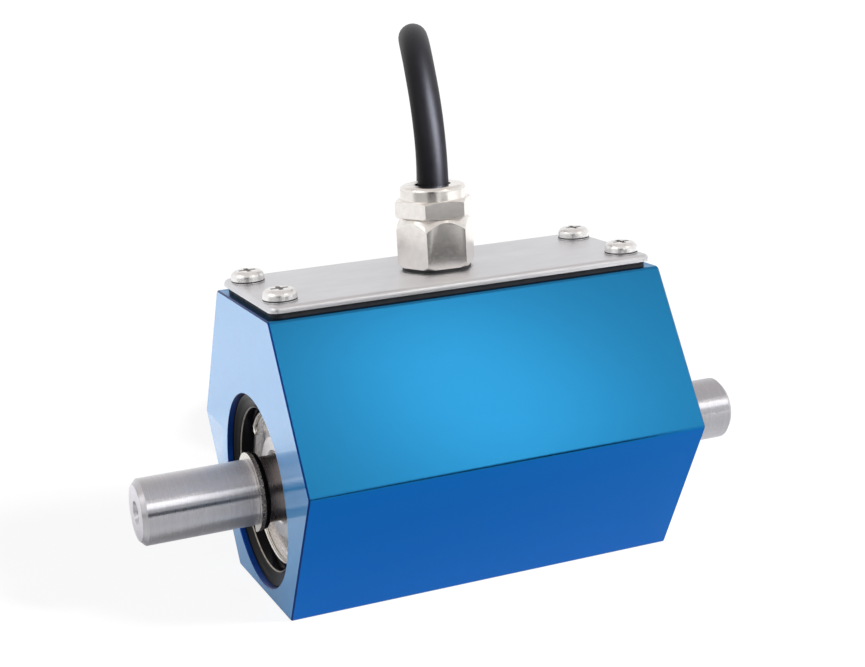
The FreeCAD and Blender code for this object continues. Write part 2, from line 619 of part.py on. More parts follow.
def make_shields(side):
    """Two pressed shields with a bent rim, one on each face of the bearing."""
    inner = f"({INNER_LAND} + sizes.shield_gap)"
    seat = f"({SHIELD_SEAT} - sizes.seat_clearance)"
    rim = f"({seat} - sizes.shield_thickness)"
    deep, sheet_depth = "sizes.shield_recess", "(sizes.shield_recess - sizes.shield_thickness)"
    shields = []
    for face, inwards in ((BEARING_FACE, "-"), (BEARING_BACK, "+")):
        shield = doc.addObject("PartDesign::Body", f"{side}_shield")
        sketch = sketch_on(shield, "XZ_Plane")
        draw_outline(sketch, [
            (f"{face} {inwards} {deep}", inner),
            (f"{face} {inwards} {sheet_depth}", inner),
            (f"{face} {inwards} {sheet_depth}", rim),
            (f"{face} {inwards} {sheet_depth} / 3", rim),
            (f"{face} {inwards} {sheet_depth} / 3", seat),
            (f"{face} {inwards} {deep}", seat),
        ])
        revolve(shield, sketch)
        shields.append(shield)
    group_solids(f"{side}_bearing_shields", shields, side)


def make_retaining_ring(side):
    """Black ring with a flared mouth, screwed into the block to hold the bearing."""
    outer = f"({MOUTH_RADIUS} - sizes.seat_clearance)"
    flare_end = f"{HALF_BLOCK} - sizes.ring_flare_depth"
    step = f"{flare_end} - sizes.snap_wire_diameter / 3"
    corners = [
        (BEARING_FACE, outer),
        (HALF_BLOCK, outer),
        (HALF_BLOCK, f"{outer} - sizes.ring_rim"),
        (flare_end, BEARING_RADIUS),
        (step, f"{BEARING_RADIUS} - sizes.ring_rim"),
        (BEARING_FACE, RING_NOSE),
    ]
    turned_part(f"{side}_retaining_ring", corners, side)


def make_snap_wire(side):
    """Round spring wire that lies against the bearing's face, open, with a hooked end."""
    ring_nose = size("bearing_diameter") / 2 - size("ring_lap")
    radius = ring_nose - size("snap_wire_diameter") / 2 - size("seat_clearance")
    hook = size("snap_wire_hook")
    far = size("housing_length") / 2 - size("mouth_depth") + size("snap_wire_diameter") / 2
    sweep, bend = math.radians(size("snap_wire_sweep")), math.radians(110)

    def on_ring(angle):
        return Vector(far, radius * math.cos(angle), radius * math.sin(angle))

    hook_centre = on_ring(sweep) * ((radius - hook) / radius)
    hook_centre.x = far

    def on_hook(angle):
        return hook_centre + Vector(0, hook * math.cos(angle), hook * math.sin(angle))

    path = Part.Wire([
        Part.Arc(on_ring(0), on_ring(sweep / 2), on_ring(sweep)).toShape(),
        Part.Arc(on_hook(sweep), on_hook(sweep + bend / 2), on_hook(sweep + bend)).toShape(),
    ])
    section = Part.Wire(Part.Circle(on_ring(0), Vector(0, 0, 1),
                                    size("snap_wire_diameter") / 2).toShape())
    wire = keep(doc.addObject("Part::Feature", f"{side}_snap_wire"), f"{side}_snap_wire")
    wire.Shape = path.makePipeShell([section], True, False)
    turn = Rotation(Vector(1, 0, 0), size("snap_wire_turn"))
    place_at(wire, z=SHAFT_HEIGHT, rotation=side_turn(side) * turn)


# Shaft and what turns with it


def make_shaft():
    """Measuring shaft: free ends, bearing seats, core seats and a thin middle section."""
    body = body_on_shaft("shaft")
    sketch = sketch_on(body, "XZ_Plane")
    waist, seat, free = WAIST_RADIUS, SHAFT_SEAT, FREE_SHAFT
    shoulder = f"{BEARING_BORE} + sizes.shoulder_step"
    collar_near = f"{BEARING_BACK} - sizes.shoulder_width"
    groove_near = f"{CIRCLIP_FAR} - sizes.circlip_groove_play"
    groove_far = f"{CIRCLIP_FAR} + sizes.circlip_thickness + sizes.circlip_groove_play"
    groove_floor = f"{free} - sizes.circlip_groove_depth"
    hole, sink = "sizes.centre_hole_diameter / 2", "sizes.centre_sink_diameter / 2"
    hole_end = f"{SHAFT_END} - sizes.centre_hole_depth"
    corners = [
        ("0", "0"),
        ("0", waist),
        (WAIST_FAR, waist),
        (ROTOR_BOARD_NEAR, seat),
        (collar_near, seat),
        (collar_near, shoulder),
        (BEARING_BACK, shoulder),
        (BEARING_BACK, seat),
        (BEARING_FACE, seat),
        (f"{BEARING_FACE} + {seat} - {free}", free),
        (groove_near, free),
        (groove_near, groove_floor),
        (groove_far, groove_floor),
        (groove_far, free),
        (f"{SHAFT_END} - sizes.shaft_chamfer", free),
        (SHAFT_END, f"{free} - sizes.shaft_chamfer"),
        (SHAFT_END, sink),
        (f"{SHAFT_END} - {sink} + {hole}", hole),
        (hole_end, hole),
        (f"{hole_end} - {hole}", "0"),
    ]
    draw_outline(sketch, corners)
    half = revolve(body, sketch)
    mirror(body, [half], "YZ_Plane")
    waist_radius, gauge_far = size("torsion_diameter") / 2, size("gauge_length") / 2

    def waist_end_edge(edge):
        box = edge.BoundBox
        return (near(box.XLength, 0) and abs(box.XMin) > gauge_far
                and near(box.ZMax, waist_radius))

    dress_edges(body, "Fillet", "sizes.torsion_fillet", waist_end_edge)


def make_circlip(side):
    """Spring ring in the shaft's groove, open below."""
    inner = f"({FREE_SHAFT} - sizes.circlip_groove_depth + sizes.seat_clearance)"
    far_end = f"{CIRCLIP_FAR} + sizes.circlip_thickness"
    body = body_on_shaft(f"{side}_circlip", side)
    sketch = sketch_on(body, "XZ_Plane")
    draw_outline(sketch, plain_ring(CIRCLIP_FAR, far_end, inner, CIRCLIP_RADIUS))
    revolve(body, sketch, angle="360 - sizes.circlip_gap_angle")


def make_shaft_ring(side):
    """Rubber ring on the shaft, just behind the circlip."""
    inner = f"({FREE_SHAFT} + sizes.seat_clearance)"
    far_end = f"{CIRCLIP_FAR} - sizes.circlip_groove_play"
    near_end = f"{far_end} - sizes.shaft_ring_width"
    body = turned_part(f"{side}_shaft_ring",
                       plain_ring(near_end, far_end, inner, SHAFT_RING_RADIUS), side)
    outer = size("shaft_diameter") / 2 + size("shaft_ring_height")
    dress_edges(body, "Fillet", "sizes.shaft_ring_width / 4",
                lambda edge: near(edge.BoundBox.ZMax, outer) and near(edge.BoundBox.XLength, 0))


def make_strain_gauges():
    """Curved gauges glued round the thin section of the shaft."""
    inner = "(sizes.torsion_diameter / 2 + sizes.seat_clearance)"
    gauges = []
    count = int(size("gauge_count"))
    for i in range(count):
        gauge = doc.addObject("PartDesign::Body", "gauge")
        sketch = sketch_on(gauge, "XZ_Plane")
        draw_outline(sketch, plain_ring("-sizes.gauge_length / 2", "sizes.gauge_length / 2",
                                        inner, f"{inner} + sizes.gauge_thickness"))
        revolve(gauge, sketch, angle="sizes.gauge_angle")
        gauge.Placement = Placement(Vector(), Rotation(Vector(1, 0, 0), 360 * i / count))
        gauges.append(gauge)
    group_solids("strain_gauges", gauges)


def make_rotor_core(side):
    """Turning core of the rotary transformer, with a slot round its outside."""
    inner = f"({SHAFT_SEAT} + sizes.seat_clearance)"
    outer, floor = ROTOR_RADIUS, f"({ROTOR_RADIUS} - {ROTOR_WINDING})"
    near_wall, far_wall = f"{CORE_NEAR} + sizes.core_wall", f"{CORE_FAR} - sizes.core_wall"
    corners = [
        (CORE_NEAR, inner),
        (CORE_FAR, inner),
        (CORE_FAR, outer),
        (far_wall, outer),
        (far_wall, floor),
        (near_wall, floor),
        (near_wall, outer),
        (CORE_NEAR, outer),
    ]
    turned_part(f"{side}_rotor_core", corners, side)


def winding_ends():
    """The ends of a winding between its core's walls."""
    return (
        f"{CORE_NEAR} + sizes.core_wall + sizes.seat_clearance",
        f"{CORE_FAR} - sizes.core_wall - sizes.seat_clearance",
    )


def make_rotor_winding(side):
    """Copper winding in the turning core."""
    inner = f"({ROTOR_RADIUS} - {ROTOR_WINDING} + sizes.seat_clearance)"
    outer = f"({ROTOR_RADIUS} - sizes.seat_clearance)"
    turned_part(f"{side}_rotor_winding", plain_ring(*winding_ends(), inner, outer), side)


def make_rotor_board():
    """Ring-shaped circuit board on the shaft, beside a core, with its chips."""
    outer = f"({ROTOR_RADIUS} - sizes.rotor_board_inset)"
    body = turned_part("rotor_board", plain_ring(ROTOR_BOARD_NEAR, ROTOR_BOARD_FAR,
                                                 BEARING_BORE, outer))
    chips = sketch_on(body, "YZ_Plane", ROTOR_BOARD_FAR)
    width = "sizes.rotor_board_thickness"
    middle, depth = f"({outer} + {BEARING_BORE}) / 2", f"({outer} - {BEARING_BORE}) / 4"
    draw_outline(chips, [
        (width, f"{middle} - {depth}"),
        (width, f"{middle} + {depth}"),
        (f"-{width}", f"{middle} + {depth}"),
        (f"-{width}", f"{middle} - {depth}"),
    ])
    chip = pad(body, chips, "sizes.rotor_board_thickness")
    polar_pattern(body, chip, "X_Axis", "sizes.gauge_count")


# Fixed parts of the rotary transformer


def make_stator_sleeve():
    """Tube between the bearings' outer rings, which holds the fixed cores."""
    outer = "sizes.bearing_diameter / 2"
    body = turned_part("stator_sleeve", plain_ring(f"-{BEARING_BACK}", BEARING_BACK,
                                                   STATOR_RADIUS, outer))
    drill_wire_holes(body, ("", "-"), outer)


def drill_wire_holes(body, signs, height):
    """Holes for the wires, straight down into a ring from the given height."""
    holes = sketch_on(body, "XY_Plane", height)
    for sign in signs:
        draw_circle(holes, f"{sign}{CORE_MIDDLE}", "0",
                    "sizes.wire_hole_diameter / 2")
    pocket(body, holes, height)


def make_stator_core(side):
    """Fixed core of the rotary transformer, with a slot round its inside."""
    outer, inner = f"({STATOR_RADIUS} - sizes.seat_clearance)", STATOR_INNER
    floor = f"({STATOR_INNER} + {STATOR_WINDING})"
    near_wall, far_wall = f"{CORE_NEAR} + sizes.core_wall", f"{CORE_FAR} - sizes.core_wall"
    corners = [
        (CORE_NEAR, outer),
        (CORE_FAR, outer),
        (CORE_FAR, inner),
        (far_wall, inner),
        (far_wall, floor),
        (near_wall, floor),
        (near_wall, inner),
        (CORE_NEAR, inner),
    ]
    body = turned_part(f"{side}_stator_core", corners, side)
    drill_wire_holes(body, ("",), outer)


def make_stator_winding(side):
    """Copper winding in the fixed core."""
    inner = f"({STATOR_INNER} + sizes.seat_clearance)"
    outer = f"({STATOR_INNER} + {STATOR_WINDING} - sizes.seat_clearance)"
    turned_part(f"{side}_stator_winding", plain_ring(*winding_ends(), inner, outer), side)


# Electronics in the pocket


def body_at(label, x="0", y="0", z="0", rotation=None):
    """A body with its own origin at the given place."""
    body = keep(doc.addObject("PartDesign::Body", label), label)
    return place_at(body, x, y, z, rotation)


FLOOR_HEIGHT = f"({SHAFT_HEIGHT} + {POCKET_FLOOR})"
BOARD_HEIGHT = f"({FLOOR_HEIGHT} + sizes.board_lift)"
BOARD_TOP = f"({BOARD_HEIGHT} + sizes.board_thickness)"


def make_circuit_board():
    """Circuit board on four spacers, with holes for its screws and for the cores' wires."""
    body = body_at("circuit_board", z=BOARD_HEIGHT)
    sketch = sketch_on(body, "XY_Plane")
    draw_rectangle(sketch, BOARD_LENGTH, BOARD_WIDTH)
    pad(body, sketch, "sizes.board_thickness")
    holes = sketch_on(body, "XY_Plane", "sizes.board_thickness")
    draw_four_circles(holes, BOARD_SCREW_X, BOARD_SCREW_Y,
                      "sizes.board_screw_diameter / 2 + sizes.thread_clearance")
    pocket(body, holes, "sizes.board_thickness")


def make_board_spacers():
    """Tubes that lift the circuit board off the pocket's floor."""
    spacers = []
    for sign_x in ("", "-"):
        for sign_y in ("", "-"):
            x, y = f"{sign_x}{BOARD_SCREW_X}", f"{sign_y}{BOARD_SCREW_Y}"
            rod = doc.addObject("Part::Cylinder", "spacer_rod")
            bind(rod, Height="sizes.board_lift", Radius="sizes.spacer_diameter / 2")
            place_at(rod, x, y, FLOOR_HEIGHT)
            hole = doc.addObject("Part::Cylinder", "spacer_hole")
            bind(hole, Height="sizes.board_lift",
                 Radius="sizes.board_screw_diameter / 2 + sizes.thread_clearance")
            place_at(hole, x, y, FLOOR_HEIGHT)
            spacer = doc.addObject("Part::Cut", "spacer")
            spacer.Base, spacer.Tool = rod, hole
            spacers.append(spacer)
    group = keep(doc.addObject("Part::Compound", "board_spacers"), "board_spacers")
    group.Links = spacers


def make_board_screws():
    """Cylinder-head screws that hold the circuit board."""
    screws = []
    shank_length = "(sizes.board_screw_bite + sizes.board_lift + sizes.board_thickness)"
    for sign_x in ("", "-"):
        for sign_y in ("", "-"):
            x, y = f"{sign_x}{BOARD_SCREW_X}", f"{sign_y}{BOARD_SCREW_Y}"
            shank = doc.addObject("Part::Cylinder", "board_screw_shank")
            bind(shank, Radius="sizes.board_screw_diameter / 2 - sizes.seat_clearance",
                 Height=shank_length)
            place_at(shank, x, y, f"{BOARD_TOP} - {shank_length}")
            head = doc.addObject("Part::Cylinder", "board_screw_head")
            bind(head, Radius="sizes.board_head_diameter / 2", Height="sizes.board_head_height")
            place_at(head, x, y, BOARD_TOP)
            screw = doc.addObject("Part::Fuse", "board_screw")
            screw.Base, screw.Tool = shank, head
            screws.append(screw)
    group = keep(doc.addObject("Part::Compound", "board_screws"), "board_screws")
    group.Links = screws


# Chips on the board, as shares of its length, width and thickness: length, width, height, and
# the place along the board and across it.
BOARD_CHIPS = [
    (0.132, 0.270, 1.00, -0.24, 0.15),
    (0.088, 0.154, 0.94, -0.06, -0.27),
    (0.088, 0.154, 0.94, -0.20, -0.25),
    (0.059, 0.115, 0.75, -0.37, -0.15),
    (0.103, 0.123, 1.50, 0.37, 0.10),
]


def make_board_chips():
    """Chips soldered on top of the circuit board."""
    chips = []
    for length, width, height, along, across in BOARD_CHIPS:
        chip = doc.addObject("Part::Box", "chip")
        bind(chip, Length=f"{length} * {BOARD_LENGTH}", Width=f"{width} * {BOARD_WIDTH}",
             Height=f"{height} * sizes.board_thickness")
        place_at(chip, f"{along - length / 2} * {BOARD_LENGTH}",
                 f"{across - width / 2} * {BOARD_WIDTH}", BOARD_TOP)
        chips.append(chip)
    group = keep(doc.addObject("Part::Compound", "board_chips"), "board_chips")
    group.Links = chips


# Shares of the terminal block's depth at which its wires go in, and the width over which they
# leave the cable, in wire diameters.
WIRE_PLACES = (-0.375, -0.125, 0.125, 0.375)
WIRE_SPREAD = 4.4


def make_terminal_block():
    """Terminal block that takes the cable's wires, with a row of wire entries."""
    body = body_at("terminal_block", x=TERMINAL_PLACE, z=BOARD_TOP)
    outline = sketch_on(body, "XY_Plane")
    draw_rectangle(outline, "sizes.terminal_length", "sizes.terminal_depth")
    pad(body, outline, "sizes.terminal_height")
    entries = sketch_on(body, "XY_Plane", "sizes.terminal_height")
    for place in WIRE_PLACES:
        draw_circle(entries, "0", f"{place} * sizes.terminal_depth",
                    "sizes.wire_diameter / 2 + sizes.seat_clearance")
    pocket(body, entries, "sizes.terminal_height / 2")
    return body


def make_lead_wires(terminal_block, plate):
    """Single wires from the end of the cable to the terminal block."""
    doc.recompute()
    block = terminal_block.Placement.Base
    entry, start = block.z + size("terminal_height"), above_plate(plate, ARCH[0])
    thickness = size("wire_diameter")
    wires = []
    for place in WIRE_PLACES:
        beside, across = place * WIRE_SPREAD * thickness, place * size("terminal_depth")
        points = [
            Vector(start.x, beside, start.z),
            Vector(start.x, beside, entry + 3 * thickness),
            Vector(block.x, across, entry + 2.5 * thickness),
            Vector(block.x, across, entry - size("terminal_height") / 2),
        ]
        wires.append(tube_along(points, thickness / 2))
    leads = keep(doc.addObject("Part::Feature", "lead_wires"), "lead_wires")
    leads.Shape = Part.Compound(wires)


def make_core_wires():
    """Pairs of wires from the fixed windings up to the circuit board."""
    wires = []
    for sign_x in ("", "-"):
        for sign_y in ("", "-"):
            wire = doc.addObject("Part::Cylinder", "core_wire")
            start = f"({SHAFT_HEIGHT} + {STATOR_INNER} + {STATOR_WINDING})"
            bind(wire, Radius="sizes.wire_diameter / 2", Height=f"{BOARD_HEIGHT} - {start}")
            place_at(wire, f"{sign_x}{CORE_MIDDLE}",
                     f"{sign_y}sizes.wire_hole_diameter / 5", start)
            wires.append(wire)
    group = keep(doc.addObject("Part::Compound", "core_wires"), "core_wires")
    group.Links = wires


# Cover


def make_gasket():
    """Flat rubber gasket between the block and the cover plate."""
    body = body_at("cover_gasket", z=ACROSS_FLATS)
    outline = sketch_on(body, "XY_Plane")
    draw_rectangle(outline, f"{PLATE_LENGTH} - 2 * sizes.gasket_inset",
                   f"{PLATE_WIDTH} - 2 * sizes.gasket_inset")
    pad(body, outline, "sizes.gasket_thickness")
    dress_edges(body, "Fillet", "sizes.plate_corner", is_upright)
    opening = sketch_on(body, "XY_Plane", "sizes.gasket_thickness")
    draw_rectangle(opening, POCKET_LENGTH, POCKET_WIDTH)
    pocket(body, opening, "sizes.gasket_thickness")
    holes = sketch_on(body, "XY_Plane", "sizes.gasket_thickness")
    draw_four_circles(holes, COVER_SCREW_X, COVER_SCREW_Y,
                      "sizes.cover_screw_diameter / 2 + sizes.thread_clearance")
    pocket(body, holes, "sizes.gasket_thickness")


def make_plate():
    """Steel cover plate with rounded corners and a softened upper edge."""
    body = body_at("cover_plate", z=PLATE_FOOT)
    outline = sketch_on(body, "XY_Plane")
    draw_rectangle(outline, PLATE_LENGTH, PLATE_WIDTH)
    pad(body, outline, "sizes.plate_thickness")
    dress_edges(body, "Fillet", "sizes.plate_corner", is_upright)
    top = size("plate_thickness")
    dress_edges(body, "Fillet", "sizes.plate_edge_radius", lambda edge: is_level_at(edge, top))
    holes = sketch_on(body, "XY_Plane", "sizes.plate_thickness")
    draw_four_circles(holes, COVER_SCREW_X, COVER_SCREW_Y,
                      "sizes.cover_screw_diameter / 2 + sizes.thread_clearance")
    draw_circle(holes, "0", "0", f"{GLAND_THREAD} + sizes.thread_clearance")
    pocket(body, holes, "sizes.plate_thickness")
    return body


def make_cover_screws():
    """Pan-head screws with a cross recess, at the cover plate's corners."""
    screws = []
    for sign_x in ("", "-"):
        for sign_y in ("", "-"):
            screw = doc.addObject("PartDesign::Body", "cover_screw")
            place_at(screw, f"{sign_x}{COVER_SCREW_X}", f"{sign_y}{COVER_SCREW_Y}",
                     PLATE_TOP)
            shape_cover_screw(screw)
            screws.append(screw)
    group = keep(doc.addObject("Part::Compound", "cover_screws"), "cover_screws")
    group.Links = screws


def shape_cover_screw(screw):
    """One screw: shank, rounded head and cross recess."""
    shank = "sizes.cover_screw_diameter / 2 - sizes.seat_clearance"
    head = "sizes.cover_head_diameter / 2"
    profile = sketch_on(screw, "XZ_Plane")
    draw_outline(profile, [
        ("0", "-sizes.cover_screw_length"),
        (shank, "-sizes.cover_screw_length"),
        (shank, "0"),
        (head, "0"),
        (head, "sizes.cover_head_height"),
        ("0", "sizes.cover_head_height"),
    ])
    revolve(screw, profile, axis="V_Axis")
    top = size("cover_head_height")
    dress_edges(screw, "Fillet", "sizes.cover_head_edge", lambda edge: is_level_at(edge, top))
    for length, width in (("sizes.cross_span", "sizes.cross_width"),
                          ("sizes.cross_width", "sizes.cross_span")):
        slot = sketch_on(screw, "XY_Plane", "sizes.cover_head_height")
        draw_rectangle(slot, length, width)
        pocket(screw, slot, "sizes.cross_depth")


# Cable gland


def gland_rotation():
    return Rotation(Vector(0, 0, 1), size("gland_turn"))


def turned_upright(body, corners):
    """A shape that is turned about the body's Z axis. Its corners are (radius, height)."""
    sketch = sketch_on(body, "XZ_Plane")
    draw_outline(sketch, corners)
    return revolve(body, sketch, axis="V_Axis")


def mill_hexagon(body, flat, height):
    """Mills six flats on a turned body, from its foot up to a height."""
    side, reach = f"{flat} / sqrt(3)", f"{flat} * 2"
    cutter = sketch_on(body, "XY_Plane", height)
    draw_outline(cutter, [(flat, f"-{side}"), (reach, f"-{reach}"), (reach, reach), (flat, side)])
    first = pocket(body, cutter, height)
    polar_pattern(body, first, "Z_Axis", "6")


def make_gland_body():
    """Gland body: hexagon with turned corner chamfers, lower thread, collar and seal seat."""
    body = body_at("gland_body", z=GLAND_FOOT, rotation=gland_rotation())
    height, corner = "sizes.gland_body_height", f"{GLAND_FLAT} * 2 / sqrt(3)"
    bore, seat, stub, collar = GLAND_BORE, GLAND_SEAT, GLAND_THREAD, GLAND_COLLAR
    collar_top = f"{height} + sizes.gland_collar_height"
    thread_end = "-(sizes.gland_thread_length + sizes.gland_washer_thickness)"
    top_radius = f"({GLAND_FLAT} - sizes.cap_gap)"
    turned_upright(body, [
        (bore, thread_end),
        (stub, thread_end),
        (stub, "0"),
        (f"{corner} - sizes.gland_foot_chamfer", "0"),
        (corner, "sizes.gland_foot_chamfer"),
        (corner, f"{height} - sizes.gland_corner_drop"),
        (top_radius, height),
        (collar, height),
        (collar, collar_top),
        (seat, collar_top),
        (seat, f"{height} - sizes.gland_seat_depth"),
        (bore, f"{height} - sizes.gland_seat_depth"),
    ])
    mill_hexagon(body, GLAND_FLAT, height)


def make_gland_washer():
    """Flat rubber washer that seals the gland against the cover plate."""
    body = body_at("gland_washer", z=PLATE_TOP)
    inner = f"({GLAND_THREAD} + sizes.seat_clearance)"
    outer = f"({GLAND_FLAT} - sizes.gland_washer_inset)"
    thickness = "sizes.gland_washer_thickness"
    turned_upright(body, [(inner, "0"), (outer, "0"), (outer, thickness), (inner, thickness)])


def make_cap_nut():
    """Cap nut: hexagon below, round dome above, with a hole for the cable."""
    low = "(sizes.gland_body_height + sizes.cap_gap)"
    body = body_at("gland_cap_nut", z=f"{GLAND_FOOT} + {low}", rotation=gland_rotation())
    corner, edge = f"{CAP_FLAT} * 2 / sqrt(3)", "sizes.cap_chamfer"
    dome, hole = DOME_RADIUS, DOME_HOLE
    top = "(sizes.cap_hex_height + sizes.dome_height)"
    inner = f"({GLAND_COLLAR} + sizes.seat_clearance)"
    roof = "(sizes.gland_collar_height + sizes.cap_gap)"
    turned_upright(body, [
        (inner, "0"),
        (f"{corner} - {edge}", "0"),
        (corner, edge),
        (corner, f"sizes.cap_hex_height - {edge}"),
        (f"{corner} - 2 * {edge}", "sizes.cap_hex_height"),
        (dome, "sizes.cap_hex_height"),
        (dome, top),
        (hole, top),
        (hole, roof),
        (inner, roof),
    ])
    dome_top = size("cap_hex_height") + size("dome_height")
    hole_radius = size("cable_diameter") / 2 + size("dome_hole_play")
    dress_edges(body, "Fillet", "sizes.dome_edge_radius",
                lambda edge: is_level_at(edge, dome_top)
                and not near(edge.BoundBox.XMax, hole_radius))
    mill_hexagon(body, CAP_FLAT, "sizes.cap_hex_height")


def make_gland_seal():
    """Rubber sleeve that the cap nut squeezes round the cable."""
    low = "(sizes.gland_body_height - sizes.gland_seat_depth)"
    body = body_at("gland_seal", z=f"{GLAND_FOOT} + {low}")
    inner = "(sizes.cable_diameter / 2 - sizes.seat_clearance)"
    outer = f"({GLAND_SEAT} - sizes.seat_clearance)"
    top = "(sizes.gland_seat_depth + sizes.gland_collar_height + sizes.cap_gap / 2)"
    turned_upright(body, [
        (inner, "0"),
        (outer, "0"),
        (outer, f"{top} - sizes.cap_hex_height / 4"),
        (f"{inner} + sizes.gland_collar_wall", top),
        (inner, top),
    ])


def make_lock_nut():
    """Nut on the gland's thread, under the cover plate."""
    under = f"({PLATE_FOOT} - sizes.lock_nut_height)"
    body = body_at("gland_lock_nut", z=under, rotation=gland_rotation())
    corner, edge = f"{LOCK_NUT_FLAT} * 2 / sqrt(3)", "sizes.cap_chamfer"
    inner = f"({GLAND_THREAD} + sizes.seat_clearance)"
    turned_upright(body, [
        (inner, "0"),
        (f"{corner} - {edge}", "0"),
        (corner, edge),
        (corner, "sizes.lock_nut_height"),
        (inner, "sizes.lock_nut_height"),
    ])
    mill_hexagon(body, LOCK_NUT_FLAT, "sizes.lock_nut_height")


# Cable. It comes out of the gland, arches over backwards, comes down behind the block and is
# put away in a flat coil there, with its plug on top of the coil.

# Points along its middle line. Those of the arch have heights above the cover plate, and the
# others have heights above the floor.
ARCH = [
    Vector(0, 0, -2.5),
    Vector(0.2, -0.1, 11.5),
    Vector(0.2, 0.1, 34.1),
    Vector(4.6, 17.6, 53.0),
    Vector(14.0, 42.4, 53.2),
    Vector(23.0, 57.6, 34.0),
    Vector(23.8, 57.6, 9.5),
]
DROP = [
    Vector(19.5, 59.0, 59.0),
    Vector(11.0, 60.8, 39.0),
    Vector(11.0, 61.3, 24.2),
    Vector(18.5, 61.0, 11.2),
    Vector(31.5, 61.0, 3.75),
    Vector(46.0, 62.5, 3.75),
    Vector(63.3, 73.4, 3.75),
]
TAIL = [
    Vector(1.4, 93.3, 18.75),
    Vector(13.2, 80.2, 19.5),
    Vector(29.5, 72.8, 22.5),
    Vector(47.6, 73.0, 26.5),
    Vector(64.1, 80.8, 30.0),
    Vector(75.8, 94.8, 31.9),
    Vector(size("plug_x"), size("plug_y") - size("plug_run"), size("plug_height")),
    Vector(size("plug_x"), size("plug_y"), size("plug_height")),
]
# Share of the shorter of two runs that the bend between them takes up.
BEND_SHARE = 0.45


def above_plate(plate, point):
    """A point whose height is given above the cover plate's upper face."""
    return point + Vector(0, 0, plate.Placement.Base.z + size("plate_thickness"))


def tube_along(points, radius):
    """A round tube along straight runs joined by tangent arcs, as large as the runs allow."""
    edges, bends = [], []
    start = points[0]
    for before, corner, after in zip(points, points[1:], points[2:]):
        cut = BEND_SHARE * min((corner - before).Length, (after - corner).Length)
        to_before = (before - corner).normalize()
        to_after = (after - corner).normalize()
        turn = math.pi - to_before.getAngle(to_after)
        arc_radius = cut / math.tan(turn / 2)
        bends.append(f"{arc_radius:.0f}")
        arc_start, arc_end = corner + to_before * cut, corner + to_after * cut
        inwards = (to_before + to_after).normalize()
        middle = corner + inwards * (arc_radius / math.cos(turn / 2) - arc_radius)
        edges.append(Part.LineSegment(start, arc_start).toShape())
        edges.append(Part.Arc(arc_start, middle, arc_end).toShape())
        start = arc_end
    edges.append(Part.LineSegment(start, points[-1]).toShape())
    path = Part.Wire(edges)
    section = Part.Wire(Part.Circle(points[0], points[1] - points[0], radius).toShape())
    tube = path.makePipeShell([section], True, False)
    expected = math.pi * radius**2 * path.Length
    if not near(tube.Volume / expected, 1, 0.01):
        raise ValueError("a tube doesn't have its section times its length")
    print(f"tube of {2 * radius:g} mm: length {path.Length:.0f} mm, bend radii", *bends)
    return tube


def make_cable(plate):
    """The cable's uncoiled stretches: gland to coil, and coil to plug."""
    radius = size("cable_diameter") / 2
    lead = [above_plate(plate, point) for point in ARCH] + DROP
    for label, points in (("cable", lead), ("cable_tail", TAIL)):
        stretch = keep(doc.addObject("Part::Feature", label), label)
        stretch.Shape = tube_along(points, radius)


def make_coil():
    """The put-away length of cable, as one ring of the coil's outer shape."""
    body = body_at("cable_coil", "sizes.coil_x", "sizes.coil_y")
    turned_upright(body, [
        ("sizes.coil_inner_radius", "0"),
        ("sizes.coil_outer_radius", "0"),
        ("sizes.coil_outer_radius", "sizes.coil_height"),
        ("sizes.coil_inner_radius", "sizes.coil_height"),
    ])
    dress_edges(body, "Fillet", "sizes.cable_diameter / 2", lambda edge: True)


# Plug. Its axis lies along Y on top of the coil, and its rear end faces the cable.


def plug_part(label, corners):
    """A turned part of the plug. Its corners are (distance from the plug's rear end, radius)."""
    body = body_at(label, "sizes.plug_x", "sizes.plug_y", "sizes.plug_height",
                   Rotation(Vector(0, 0, 1), 90))
    sketch = sketch_on(body, "XZ_Plane")
    draw_outline(sketch, corners)
    revolve(body, sketch)
    return body


NUT_END = "sizes.plug_nut_length"
SHELL_END = "(sizes.plug_nut_length + sizes.plug_shell_length)"
NOSE_END = f"({SHELL_END} + sizes.plug_nose_length)"


def make_plug():
    """Round plug: clamp nut, shell, contact insert and a coupling ring that turns freely."""
    plug_part("plug_clamp_nut", [
        ("0", "0"),
        ("0", "sizes.cable_diameter / 2 + sizes.plug_nut_wall"),
        (f"{NUT_END} / 2", "sizes.plug_nut_radius"),
        (NUT_END, "sizes.plug_nut_radius"),
        (NUT_END, "0"),
    ])
    nose, insert = "sizes.plug_nose_radius", "sizes.plug_insert_radius"
    plug_part("plug_shell", [
        (NUT_END, "0"),
        (NUT_END, "sizes.plug_radius"),
        (SHELL_END, "sizes.plug_radius"),
        (SHELL_END, nose),
        (NOSE_END, nose),
        (NOSE_END, insert),
        (SHELL_END, insert),
        (SHELL_END, "0"),
    ])
    insert_end = f"({NOSE_END} - sizes.plug_insert_inset)"
    contacts = plug_part("plug_insert", [
        (SHELL_END, "0"),
        (SHELL_END, f"{insert} - sizes.seat_clearance"),
        (insert_end, f"{insert} - sizes.seat_clearance"),
        (insert_end, "0"),
    ])
    holes = sketch_on(contacts, "YZ_Plane", insert_end)
    draw_circle(holes, "0", f"{insert} * sizes.plug_pin_share", "sizes.plug_pin_hole_diameter / 2")
    first = pocket(contacts, holes, "sizes.plug_nose_length / 2")
    polar_pattern(contacts, first, "X_Axis", "sizes.plug_pin_count")
    ring_start = f"({NOSE_END} - sizes.plug_ring_length)"
    ring = plug_part("plug_coupling_ring", plain_ring(
        ring_start, NOSE_END, f"{nose} + sizes.plug_ring_play", "sizes.plug_ring_radius"))
    rim = size("plug_ring_radius")
    dress_edges(ring, "Chamfer", "sizes.cap_chamfer",
                lambda edge: near(edge.BoundBox.ZMax, rim) and near(edge.BoundBox.XLength, 0))


